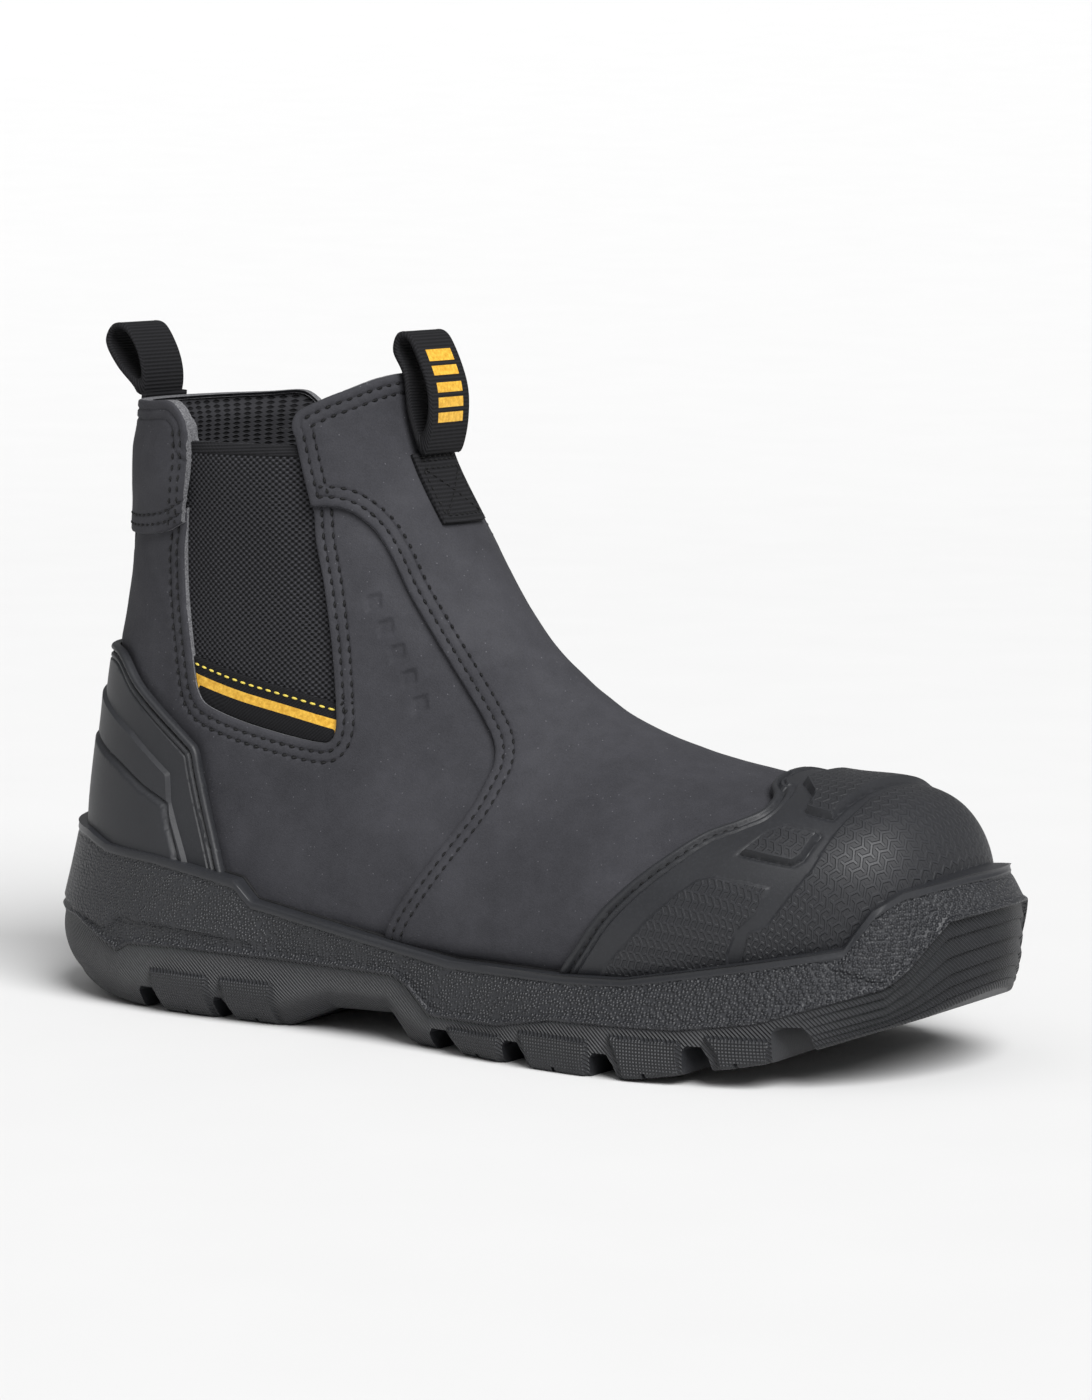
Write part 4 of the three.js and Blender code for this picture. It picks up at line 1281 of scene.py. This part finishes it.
foam_region = Outline([[-170, 93], [-112, 91], [-100, 86], [-80, 86], [-80, 190], [-170, 190]])
foam = build_layer(
    "collar_padding", "collar_foam", FOAM, upper_sheet(2.0, -0.2, 4.2, -1.65, -0.35), -2.7, -4.2,
    [(foam_region, 0, False), (collar_region, -5.2, False), (gusset_hole, 6.6, True)], 4.0,
)
interlining_region = Outline([[-60, 10], [-60, 200], [76, 200], [76, 10]])
build_layer(
    "vamp_felt", "vamp_interlining", FELT, upper_sheet(2.2, 0, 8.2), -3.2, -4.2,
    [(interlining_region, 0, False), (vamp_region, -2, False), (collar_region, -5, False),
     (gusset_hole, 6.6, True), (below_rim, 0, False)],
)

LINING_FACE = -4.9
LINING_THICKNESS = 1.1
LINING_DROP = 0.9  # how far the lining ends below the edge of the collar
LINING_END = 127  # x where the front lining ends at the toes
GREY_BAND = 2.4  # width of the pale band at the lining's edge
lining_split = Outline(chain(smooth(VAMP_SEAM)[::-1], [[-51, 230], [175, 230], [175, 5]]))


def build_lining(name, node, front):
    start, end, low, high = (-0.25, 10.9, -1.0, 1.0) if front else (-0.25, 8.2, -1.97, -0.03)
    sheet = upper_sheet(1.8, start, end, low, high)
    sheet.trim(below_rim).trim(lining_split, 0 if front else 0.3, not front)
    sheet.trim(collar_region, -LINING_DROP)
    if front:
        sheet.trim(lambda points: points[:, 0] - LINING_END)
    sheet.cut(collar_region, -1.3, -2, -3, -4.5)
    depth = -LINING_DROP - sheet.measure(collar_region)
    by_elastic = 1 - ramp(sheet.measure(gusset_hole), 1, 6)
    roll = (1 - ramp(depth, 0.4, 6)) * (2.5 - 1.9 * by_elastic)
    puff = ripple(sheet.points, 16, 12) * 0.3 * ramp(depth, 1, 8)
    outer = LINING_FACE + roll + rounded_edge(depth, 0.6)
    piece = sheet.solid(
        name, outer, outer - LINING_THICKNESS + puff * 0.5, [LINING, RAW_EDGE],
        lambda face: depth[face].max() < GREY_BAND, edge=1,
    )
    place_piece(piece, "lining_mesh", node)


build_lining("vamp_lining_mesh", "vamp_lining", True)
build_lining("quarter_lining_mesh", "quarter_lining", False)


# ---------------------------------------------------------------- footbed
FOOTBED_OUTLINE = [
    [-126, 0], [-120, -17], [-105, -27], [-90, -29.5], [-45, -33.5], [0, -36.5], [40, -38], [70, -36],
    [95, -30], [114, -20], [127, -4], [127, 14], [116, 26], [95, 34.5], [70, 38.5], [40, 38], [0, 34],
    [-45, 31], [-90, 28], [-105, 26], [-120, 16],
]


def closed_curve(outline, steps):
    """A closed Catmull-Rom curve, a number of steps to each of its control points."""
    rows = np.array(outline, float)
    count = len(rows)
    wrapped = np.concatenate([rows[-1:], rows, rows[:2]])
    return catmull_rom(wrapped, 1 + np.arange(count * steps) / steps)


def build_plan_piece(name, node, low, high, finish, slot):
    """A layer under the foot: rounded at its edge, filling the footbed's outline."""
    rim = closed_curve(FOOTBED_OUTLINE, 8)
    count = len(rim)
    middle = np.stack([rim[:, 0] * 0.93, np.full(count, 1.0)], 1)  # the line that the rings shrink onto
    thick = high - low
    points, faces, flat = [], [], []
    for share, lift in [(0, 0), (0.02, 0.7), (0.05, 0.95)] + [(s, 1.0) for s in np.linspace(0.1, 1, 16)]:
        ring = rim + (middle - rim) * share
        tops = bottom_height(ring[:, 0]) + low + thick * lift
        points.append(np.stack([ring[:, 0], ring[:, 1], tops], 1))
    tops = len(points)
    for share in np.linspace(1, 0.06, 10):
        ring = rim + (middle - rim) * share
        points.append(np.stack([ring[:, 0], ring[:, 1], bottom_height(ring[:, 0]) + low], 1))
    rings = len(points)
    for i in range(rings):
        j = (i + 1) % rings
        if i == tops - 1:
            continue
        for k in range(count):
            after = (k + 1) % count
            faces.append([i * count + k, i * count + after, j * count + after, j * count + k])
    points = np.concatenate(points)
    for ring, flip in ((tops - 1, 1), (tops, -1)):
        start = ring * count
        for k in range(count // 2):
            quad = [start + k, start + k + 1, start + count - k - 1, start + (count - k) % count]
            quad = list(dict.fromkeys(quad))
            faces.append(quad[::flip])
    piece = with_uv(make_object(name, points, faces, [finish]), points[:, :2])
    place_piece(piece, slot, node, body="insole")


build_plan_piece("footbed_foam", "footbed", 4.7, 9.1, FOOTBED_FOAM, "footbed_foam")
build_plan_piece("footbed_top_cloth", "footbed_cover", 9.35, 10.3, FOOTBED_CLOTH, "footbed_cloth")


# ---------------------------------------------------------------- sole
TREAD_OUTLINE = [
    [-150, 0], [-143, -23], [-122, -38], [-90, -42], [-45, -42], [0, -47], [40, -56], [75, -57], [110, -49],
    [135, -31], [148.5, -4], [148.5, 17], [137.5, 35.5], [114, 48], [80, 54], [45, 52], [0, 43],
    [-45, 38], [-90, 40], [-122, 36], [-143, 21],
]
GIRTH_OUTLINE = [
    [-155, 0], [-148, -25], [-126, -42], [-90, -49], [-45, -49.5], [0, -53], [40, -58], [75, -58.5],
    [110, -50.5], [136.5, -33], [151.5, -4], [151.5, 17], [139.5, 37.5], [115, 50.5], [80, 56.5], [45, 56],
    [0, 51.5], [-45, 47], [-90, 46], [-126, 40], [-148, 23],
]
RIM_OUTLINE = [
    [-148.5, 0], [-141.5, -24], [-122, -40], [-90, -46.5], [-45, -50], [0, -52.5], [40, -54.5], [75, -53.5],
    [108, -46.5], [133, -32], [147, -4], [147, 16], [136.5, 32.5], [114, 47.5], [80, 54.5], [45, 54.5],
    [0, 50.5], [-45, 47], [-90, 43.5], [-122, 37.5], [-141.5, 22],
]
GROUND = [
    [-155, 20], [-148, 11], [-138, 5.3], [-124, 2.2], [-111, 0.6], [-98, 0], [-53, 0], [-36, 7], [-14, 8],
    [-8, 1], [-4, 0], [70, 0], [93, 4], [113, 8], [130, 14], [143, 18.5], [155, 26],
]
JOINT = [
    [-155, 25.5], [-132, 24.6], [-112, 17], [-107, 19.7], [-89, 20.6], [-9, 20.5], [-4, 17.6], [4, 10.5],
    [28, 10.7], [48, 14.5], [87, 15.5], [108, 18.5], [137, 28], [141, 33], [147, 45], [155, 47.5],
]
NOTCHES = [[-105, -98], [-77, -72], [3, 11], [30, 37], [60, 67], [88, 95], [112, 121]]
NOTCH_DEPTH = 7
NOTCH_INNER_END = 19
RIBS = 6  # at the toe
BOTTOM_STEPS = 40  # across the flat bottom
PLAIN_FACE = 2  # the number of the plain finish on the outsole
SIPES = (-88, -63, 20, 48, 77, 103, 131)  # x of the thin cuts in the lugs
LUG_SPANS = [(-98, -77), (-72, -54), (11, 30), (37, 60), (67, 88), (95, 112)]
SOLE_STEPS = 56  # corner points to each control point of an outline
tread, girth, rim = (closed_curve(o, SOLE_STEPS) for o in (TREAD_OUTLINE, GIRTH_OUTLINE, RIM_OUTLINE))


def profile(table):
    xs, zs = np.array(table, float).T
    return lambda x: np.interp(x, xs, zs)


ground, joint = profile(GROUND), profile(JOINT)


def ring(start, end, share, height):
    flat = start + (end - start) * share
    return np.column_stack([flat, height(flat[:, 0])])


def between(low, high, share):
    return lambda x: low(x) + (high(x) - low(x)) * share


def loft_rows(levels, places):
    """Rows of points run smoothly through a few level rings."""
    stack = np.array(levels)
    flat = catmull_rom(stack.reshape(len(levels), -1), np.asarray(places, float))
    return flat.reshape(len(places), -1, 3)


def plan_normals(rows):
    along = np.roll(rows, -1, 1) - np.roll(rows, 1, 1)
    out = np.stack([along[..., 1], -along[..., 0], np.zeros(along.shape[:2])], 2)
    return out / np.maximum(np.linalg.norm(out, axis=2), 1e-9)[..., None]


def side_distance(outline, rows):
    """Distance to an outline in the side view alone, negative inside."""
    flat = rows.reshape(-1, 3)
    return outline.distance(flat, np.tile([0.0, 1.0, 0.0], (len(flat), 1))).reshape(rows.shape[:2])


def tube_faces(rings, count, closed):
    """Quads between rings of equally many points."""
    faces = []
    for i in range(rings if closed else rings - 1):
        a, b = i * count, ((i + 1) % rings) * count
        faces += [[a + k, a + (k + 1) % count, b + (k + 1) % count, b + k] for k in range(count)]
    return faces


def inside_upper(points):
    """Whether points lie inside the upper's outer face."""
    place, rise = section_at(points[:, 0], points[:, 2])
    row = catmull_rom(SECTIONS, place)
    run = np.stack([row[:, 2] - row[:, 0], row[:, 3] - row[:, 1]], 1)
    free = ((points[:, [0, 2]] - row[:, :2]) * run).sum(1) / (run**2).sum(1)
    widest = row[:, 7]
    low = rise < widest
    away = np.where(low, (widest - rise) / widest, (rise - widest) / (1 - widest))
    power = np.where(low, row[:, 9], row[:, 8])
    half = np.where(points[:, 1] < row[:, 6], row[:, 4], row[:, 5])
    spread = np.clip(1 - away**power, 0, 1) ** (1 / power)
    between_sides = np.abs(points[:, 1] - row[:, 6]) < half * spread
    return between_sides & (free > 0) & (free < 1) & (place < LAST - 0.05)


heel_panel = Outline([
    [-165, 70], [-165, 31], [-150, 28], [-132, 26], [-118, 22.6], [-111, 26.4], [-84, 25.4], [-56, 23.6],
    [-52, 27], [-52, 70],
])
toe_bumper = Outline([
    [124.6, 33], [127.6, 37.5], [129.6, 43], [134.6, 52], [140, 57], [165, 70], [165, 24], [142, 27],
    [131, 31],
])


SMOOTH_RIM_HEIGHT = 2.4


def build_midsole():
    levels = [
        ring(girth, girth, 0, joint),
        ring(girth, rim, 0.55, between(joint, rim_height, 0.5)),
        ring(girth, rim, 1, lambda x: rim_height(x) - 1.2),
        ring(rim, tread, 0.12, rim_height),
    ]
    places = np.concatenate([np.linspace(0, 1, 20)[:-1], np.linspace(1, 2, 24)[:-1], np.linspace(2, 3, 6)])
    rows = loft_rows(levels, places)
    rows[..., 2] = np.minimum(rows[..., 2], rim_height(rows[..., 0]))
    out = plan_normals(rows)
    drop = rim_height(rows[..., 0]) - rows[..., 2]
    lift = rows[..., 2] - joint(rows[..., 0])
    rim_lip = 0.35 * (1 - ramp(drop, 1.7, 2.7))
    under_lip = 0.2 * np.clip(1 - np.abs(drop - 3.0) / 0.8, 0, 1)
    joint_bead = 0.7 * np.clip(1 - (lift - 0.7) ** 2 / 0.9, 0, 1)
    at_heel = ramp(-rows[..., 0], 54, 70)
    panel = 0.9 * np.clip(-side_distance(heel_panel, rows), 0, 1) * at_heel
    bumper = 0.9 * np.clip(-side_distance(toe_bumper, rows) / 1.1, 0, 1)
    rows = rows + out * (rim_lip - under_lip + joint_bead + panel + bumper)[..., None]

    # the rim's top reaches inward until it meets the upper
    lip = rows[-1]
    inward = -plan_normals(rows[-1:])[0]
    steps = np.arange(0, 26, 0.3)
    trial = lip[None] + inward[None] * steps[:, None, None]
    hit = inside_upper(trial.reshape(-1, 3)).reshape(len(steps), -1)
    reach = np.where(hit.any(0), steps[hit.argmax(0)], 9.0)
    kernel = np.ones(15) / 15  # evens the reach out along the rim
    reach = np.convolve(np.concatenate([reach[-7:], reach, reach[:7]]), kernel, "valid") + 1.2
    shelf = [lip + inward * (reach * share)[:, None] + [0, 0, rise]
             for share, rise in ((0.25, 0.1), (0.6, 0.0), (1.0, -0.3))]
    inner = shelf[-1] + inward * 0.4
    low = np.column_stack([inner[:, :2], np.minimum(joint(rows[0][:, 0]) + 0.5, inner[:, 2] - 1)])
    floor = rows[0] + inward * 3 + [0, 0, 0.1]
    every = np.concatenate([rows, np.array(shelf), inner[None], low[None], floor[None]])
    count = every.shape[1]
    faces = tube_faces(len(every), count, True)
    flat_drop = np.concatenate([drop.ravel(), np.zeros((len(every) - len(rows)) * count)])
    smooth_rim = flat_drop < SMOOTH_RIM_HEIGHT
    picked = [int(smooth_rim[f].all()) for f in faces]
    run = np.concatenate([[0], np.cumsum(np.linalg.norm(np.diff(rim, axis=0), axis=1))])
    chart = np.column_stack([np.tile(run, len(every)), every[..., 2].ravel()])
    piece = make_object("midsole_shell", every.reshape(-1, 3), faces, [MIDSOLE, MIDSOLE_RIM], picked)
    place_piece(with_uv(piece, chart), "midsole_foam", "midsole")
    return shelf, inward


def build_glue_line(shelf, inward):
    """The thin dark bead of cement between the rim and the upper."""
    path = shelf[-1] - inward * 1.35 + [0, 0, 0.25]
    rings = []
    wobble = ripple(path, 2.5, 13) * 0.22
    for turn in np.linspace(0, 2 * math.pi, 8)[:-1]:
        aside = -inward * (math.cos(turn) * (0.75 + wobble))[:, None]
        rings.append(path + aside + np.array([0, 0, 1]) * (math.sin(turn) * (0.55 + wobble))[:, None])
    rings = np.array(rings)
    faces = tube_faces(len(rings), rings.shape[1], True)
    piece = make_object("sole_cement_line", rings.reshape(-1, 3), faces, [GLUE], sharp=180)
    place_piece(piece, "midsole_foam")


def lug_outlines():
    """Faces of the lugs between the notches, as side view outlines."""
    faces = []
    for start, end in LUG_SPANS:
        top = min(joint(start + 3), joint(end - 3)) - 2.4 if start > 0 else 13.5
        base = max(ground(start), ground(end))
        slant = 3.2 if start > 0 else 1.5
        faces.append(Outline([
            [start - 1.2, top], [end - 0.2, top], [end - 1.2, base - 3], [start + slant, base - 3],
            [start + slant - 1.4, base + 2.5],
        ]))
    return faces


def prism(outline, y_from, y_to):
    """A closed block with a side view outline, between two y."""
    flat = np.array(outline, float)
    count = len(flat)
    ends = [np.column_stack([flat[:, 0], np.full(count, y), flat[:, 1]]) for y in (y_from, y_to)]
    faces = [[k, (k + 1) % count, count + (k + 1) % count, count + k] for k in range(count)]
    faces += [list(range(count))[::-1], [count + k for k in range(count)]]
    area = sum(a[0] * b[1] - b[0] * a[1] for a, b in zip(outline, outline[1:] + outline[:1]))
    if (area > 0) == (y_to > y_from):
        faces = [f[::-1] for f in faces]
    return np.concatenate(ends), faces


def carve(piece, blocks, finish):
    """Cuts blocks out of a piece."""
    points, faces, start = [], [], 0
    for block_points, block_faces in blocks:
        points.append(block_points)
        faces += [[i + start for i in f] for f in block_faces]
        start += len(block_points)
    cutter = make_object("cutter", np.concatenate(points), faces, [finish])
    modifier = piece.modifiers.new("carve", "BOOLEAN")
    modifier.operation = "DIFFERENCE"
    modifier.solver = "MANIFOLD"
    modifier.object = cutter
    modifier.material_mode = "TRANSFER"
    bpy.context.view_layer.update()
    carved = bpy.data.meshes.new_from_object(piece.evaluated_get(bpy.context.evaluated_depsgraph_get()))
    piece.modifiers.clear()
    piece.data = carved
    bpy.data.objects.remove(cutter)


def notch_blocks():
    blocks = []
    for start, end in NOTCHES:
        floor = max(ground(start), ground(end)) + NOTCH_DEPTH
        outline = [
            [start - 0.6, -3], [start, floor - 1.5], [start + 1.2, floor], [end - 1.5, floor],
            [end + 0.4, floor - 3], [end + 2.6, -3],
        ]
        for side in (-1, 1):
            blocks.append(prism(outline, side * NOTCH_INNER_END, side * 90))
    for x in SIPES:
        low = ground(x)
        for side in (-1, 1):
            outline = [[x - 0.5, -3], [x - 0.5, low + 1.6], [x + 0.5, low + 1.6], [x + 0.5, -3]]
            blocks.append(prism(outline, side * 24, side * 90))
    return blocks


def chevron_blocks():
    """Slanting channels that join the notches across the middle of the tread."""
    blocks = []
    for start, end in NOTCHES:
        middle = (start + end) / 2
        low = ground(middle) + 3.2
        for side in (-1, 1):
            ends = [(middle + 9, 2.0), (middle, NOTCH_INNER_END + 2.5)]
            corners = []
            for x, y in ends:
                corners.append([[x - 2.2, side * y], [x + 2.2, side * y]])
            flat = [corners[0][0], corners[0][1], corners[1][1], corners[1][0]]
            points = np.array([[x, y, z] for z in (-4, low) for x, y in flat])
            faces = [[0, 1, 2, 3], [7, 6, 5, 4], [0, 4, 5, 1], [1, 5, 6, 2], [2, 6, 7, 3], [3, 7, 4, 0]]
            blocks.append((points, faces if side < 0 else [f[::-1] for f in faces]))
    return blocks


def close_ring(points, ring_start, count):
    """Closes one ring of a tube with a grid from side to side. Gives all points, and the faces."""
    loop = points[ring_start:ring_start + count]
    shares = np.arange(1, BOTTOM_STEPS)[:, None] / BOTTOM_STEPS
    grid = np.zeros((count // 2 + 1, BOTTOM_STEPS + 1), int)
    for a, row in enumerate(grid):
        b = (count - a) % count
        row[:] = ring_start + a
        if a != b:
            row[1:-1] = len(points) + np.arange(BOTTOM_STEPS - 1)
            row[-1] = ring_start + b
            points = np.concatenate([points, loop[a] + (loop[b] - loop[a]) * shares])
    faces = []
    for row, after in zip(grid.tolist(), grid[1:].tolist()):
        for j in range(BOTTOM_STEPS):
            face = list(dict.fromkeys([row[j], row[j + 1], after[j + 1], after[j]]))
            if len(face) > 2:
                faces.append(face)
    return points, faces


def build_outsole():
    levels = [
        ring(tread, tread, 0, ground),
        ring(tread, girth, 0.75, between(ground, joint, 0.4)),
        ring(girth, girth, 0, joint),
    ]
    places = np.concatenate([np.linspace(0, 1, 20)[:-1], np.linspace(1, 2, 24)])
    rows = loft_rows(levels, places)
    out = plan_normals(rows)
    rise = rows[..., 2] - rows[:1, :, 2]
    share = (places / 2)[:, None] * np.ones(rows.shape[1])
    edge = np.clip(1 - rise / 1.6, 0, 1)
    rounding = 1.3 * (1 - np.sqrt(np.clip(1 - edge**2, 0, 1)))
    face_distance = np.min([side_distance(lug, rows) for lug in lug_outlines()], 0)
    lug_faces = 1.3 * np.clip(-face_distance / 0.9, 0, 1)
    rib = 1.2 * (1 - (share * RIBS) % 1) - 0.75
    at_toe = ramp(rows[..., 0], 112, 141)
    toe_ribs = at_toe * rib * ramp(share, 0.12, 0.2) * (1 - ramp(share, 0.97, 1))
    at_heel = ramp(-rows[..., 0], 112, 140)
    heel_belly = at_heel * 0.9 * np.clip(1 - (share - 0.55) ** 2 / 0.12, 0, 1)
    rows = rows + out * (lug_faces - rounding + toe_ribs + heel_belly)[..., None]
    count = rows.shape[1]
    faces = tube_faces(len(rows), count, False)
    knurled = (face_distance < -0.45).ravel()
    picked = [int(knurled[f].all()) for f in faces]
    points = rows.reshape(-1, 3)
    wall = len(points)
    for ring_start, turn in ((0, 1), (wall - count, -1)):
        points, cap = close_ring(points, ring_start, count)
        faces += [face[::turn] for face in cap]
        picked += [PLAIN_FACE] * len(cap)
    run = np.concatenate([[0], np.cumsum(np.linalg.norm(np.diff(girth, axis=0), axis=1))])
    chart = points[:, [0, 1]].copy()
    chart[:wall] = np.column_stack([np.tile(run, len(rows)), points[:wall, 2]])
    piece = make_object("outsole_tread", points, faces, [OUTSOLE, OUTSOLE_KNURL, OUTSOLE_PLAIN], picked)
    with_uv(piece, chart)
    carve(piece, notch_blocks(), OUTSOLE_PLAIN)
    carve(piece, chevron_blocks(), OUTSOLE_PLAIN)
    piece.data.set_sharp_from_angle(angle=math.radians(32))
    place_piece(piece, "outsole_rubber", "outsole")


build_glue_line(*build_midsole())
build_outsole()


# ---------------------------------------------------------------- pull loops
FRONT_LOOP = [
    [
        [-29.4, 164.6], [-33.4, 175], [-34.9, 186], [-38.4, 193], [-36.4, 198.3], [-31.2, 196.6],
        [-25.4, 184], [-24.8, 173.5], [-27, 164.4],
    ],
    [
        [-29.2, 169], [-31.9, 176], [-33.3, 186.4], [-36.4, 193.4], [-35.4, 196.4], [-32.2, 194.8],
        [-27, 183.2], [-26.5, 174.6],
    ],
]
REAR_LOOP = [
    [
        [-128.5, 178.0], [-128, 184], [-130, 191], [-134.5, 197.8], [-139.8, 198.2], [-142.6, 193],
        [-138.6, 186], [-132.8, 180.4], [-130.8, 178.0],
    ],
    [
        [-129.9, 182.4], [-129.5, 185], [-131.4, 191.4], [-135.3, 196.3], [-139.2, 196.5], [-140.8, 193],
        [-137.2, 186.8], [-132.4, 182.6],
    ],
]


def even_loop(outline, count):
    """A closed smooth outline as evenly spaced points, started at its lowest."""
    dense = closed_curve(outline, 24)
    dense = np.roll(dense, -int(np.argmin(dense[:, 1])), 0)
    dense = np.concatenate([dense, dense[:1]])
    run = np.concatenate([[0], np.cumsum(np.linalg.norm(np.diff(dense, axis=0), axis=1))])
    at = np.linspace(0, run[-1], count, endpoint=False)
    return np.stack([np.interp(at, run, dense[:, i]) for i in (0, 1)], 1), run[-1]


LOOP_FILL = 0.985  # share of the CAD band's width
BAR_PITCH = 4.4  # the yellow bars on the front loop
BAR_HEIGHT = 2.9
BAR_HALF_WIDTH = 6.6
PRINTED_FROM_X = -31.6  # the print is only on the band's front face
LOOP_STEPS = 110


def build_loop(name, node, outlines, body, print_from=None, print_to=None):
    """A folded band of webbing on the loop's two outlines, with rounded selvedges."""
    low, high = node_box(node)
    half = (high[1] - low[1]) / 2
    count = LOOP_STEPS
    (outer, length), (inner, _) = (even_loop(outline, count) for outline in outlines)
    selvedge = np.array([0.9, 0.95, 0.985, 1])
    columns = np.concatenate([-selvedge[::-1], np.linspace(-0.85, 0.85, 25), selvedge])
    thin = np.sqrt(np.clip((1 - np.abs(columns)) / 0.06, 0, 1)).clip(0.35, 1)
    edge_bead = 0.12 * np.clip(1 - np.abs(np.abs(columns) - 0.93) / 0.05, 0, 1)
    middle = (outer + inner) / 2
    sides = []
    wave = ripple(np.column_stack([outer[:, 0], np.zeros(count), outer[:, 1]]), 14, 14) * 0.35
    for face in (outer, inner):
        spread = (face - middle)[:, None, :] * (thin + edge_bead)[None, :, None]
        flat = middle[:, None, :] + spread
        y = columns[None, :] * half * np.ones((count, 1)) * LOOP_FILL + wave[:, None] * 0.5
        sides.append(np.stack([flat[..., 0], y, flat[..., 1]], 2))
    wide = len(columns)
    points = np.concatenate([side.reshape(-1, 3) for side in sides])
    faces, picked = [], []
    size = count * wide
    place_along = np.arange(count) * length / count
    for i in range(count):
        j = (i + 1) % count
        for k in range(wide - 1):
            faces.append([i * wide + k, i * wide + k + 1, j * wide + k + 1, j * wide + k])
            z, y = outer[i, 1], (columns[k] + columns[k + 1]) / 2 * half
            on_front = print_from is not None and outer[i, 0] > PRINTED_FROM_X and print_from < z < print_to
            in_bar = on_front and abs(y) < BAR_HALF_WIDTH and (z - print_from) % BAR_PITCH < BAR_HEIGHT
            picked.append(int(in_bar))
    for i in range(count):
        j = (i + 1) % count
        for k in range(wide - 1):
            a, b = size + i * wide + k, size + j * wide + k
            faces.append([a, b, b + 1, a + 1])
        faces.append([i * wide, j * wide, size + j * wide, size + i * wide])
        a, b = (i + 1) * wide - 1, (j + 1) * wide - 1
        faces.append([a, size + a, size + b, b])
    chart = np.column_stack([np.repeat(place_along, wide), np.tile(columns * half, count)])
    area = sum(a[0] * b[1] - b[0] * a[1] for a, b in zip(outer, np.roll(outer, -1, 0)))
    if area < 0:
        faces = [f[::-1] for f in faces]
    piece = make_object(name, points, faces, [WEBBING, YELLOW_PRINT], picked, sharp=60)
    with_uv(piece, np.concatenate([chart, chart]))
    place_piece(piece, "webbing", node, body=body)


build_loop("front_loop_webbing", "front_pull_loop", FRONT_LOOP, "front_loop", 173, 194.5)
build_loop("rear_loop_webbing", "rear_pull_loop", REAR_LOOP, "rear_loop")


# ---------------------------------------------------------------- camera, light and floor
CAMERA_TARGET = Vector((0.0079, 0, 0.0942))
CAMERA_DISTANCE = 1.4


def direction(turn, rise):
    """The way to a point that is turned from the outer side to the toe, and raised, in degrees."""
    turn, rise = math.radians(turn), math.radians(rise)
    return Vector((math.sin(turn) * math.cos(rise), -math.cos(turn) * math.cos(rise), math.sin(rise)))


def set_camera(scene):
    away = direction(turn=33, rise=6.9)
    camera = bpy.data.cameras.new("camera")
    camera.sensor_fit = "VERTICAL"
    camera.sensor_height = 36
    camera.lens = 126
    eye = bpy.data.objects.new("camera", camera)
    eye.location = CAMERA_TARGET + away * CAMERA_DISTANCE
    eye.rotation_euler = (-away).to_track_quat("-Z", "Y").to_euler()
    scene.collection.objects.link(eye)
    scene.camera = eye


def add_sun(scene, name, turn, rise, strength, softness):
    """A broad soft light from a direction, all angles in degrees."""
    lamp = bpy.data.lights.new(name, "SUN")
    lamp.energy = strength
    lamp.angle = math.radians(softness)
    light = bpy.data.objects.new(name, lamp)
    light.rotation_euler = direction(turn, rise).to_track_quat("Z", "Y").to_euler()
    scene.collection.objects.link(light)


def add_studio_floor(scene):
    """A round pale floor that rises gently towards its far edge."""
    flat, far, rise, around = 1.5, 7.0, 0.5, 96
    radii = np.linspace(flat, far, 14)
    heights = rise * ((radii - flat) / (far - flat)) ** 1.5
    turns = np.arange(around) * 2 * math.pi / around
    points = [(r * math.cos(turn), r * math.sin(turn), z) for r, z in zip(radii, heights) for turn in turns]
    faces = [list(range(around))]
    for i in range(len(radii) - 1):
        for k in range(around):
            a, b = i * around + k, i * around + (k + 1) % around
            faces.append([a, a + around, b + around, b])
    mesh = bpy.data.meshes.new("studio_floor")
    mesh.from_pydata(points, [], faces)
    mesh.polygons.foreach_set("use_smooth", [True] * len(mesh.polygons))
    floor = bpy.data.objects.new("studio_floor", mesh)
    paper = Finish("pale studio floor", 0.95, 0.05)
    paper.colour(paper.mix(paper.noise(paper.place(), 60), linear(218, 218, 218), linear(221, 221, 221)))
    mesh.materials.append(paper.material)
    scene.collection.objects.link(floor)


def set_stage():
    scene = bpy.context.scene
    scene.view_settings.view_transform = "Standard"
    world = bpy.data.worlds.new("studio")
    world.use_nodes = True
    sky = world.node_tree.nodes["Background"]
    sky.inputs["Color"].default_value = (1, 1, 1, 1)
    sky.inputs["Strength"].default_value = 0.25
    scene.world = world
    set_camera(scene)
    add_sun(scene, "key light", turn=60, rise=47, strength=4.2, softness=40)
    add_sun(scene, "side light", turn=0, rise=60, strength=0.35, softness=60)
    add_studio_floor(scene)


set_stage()
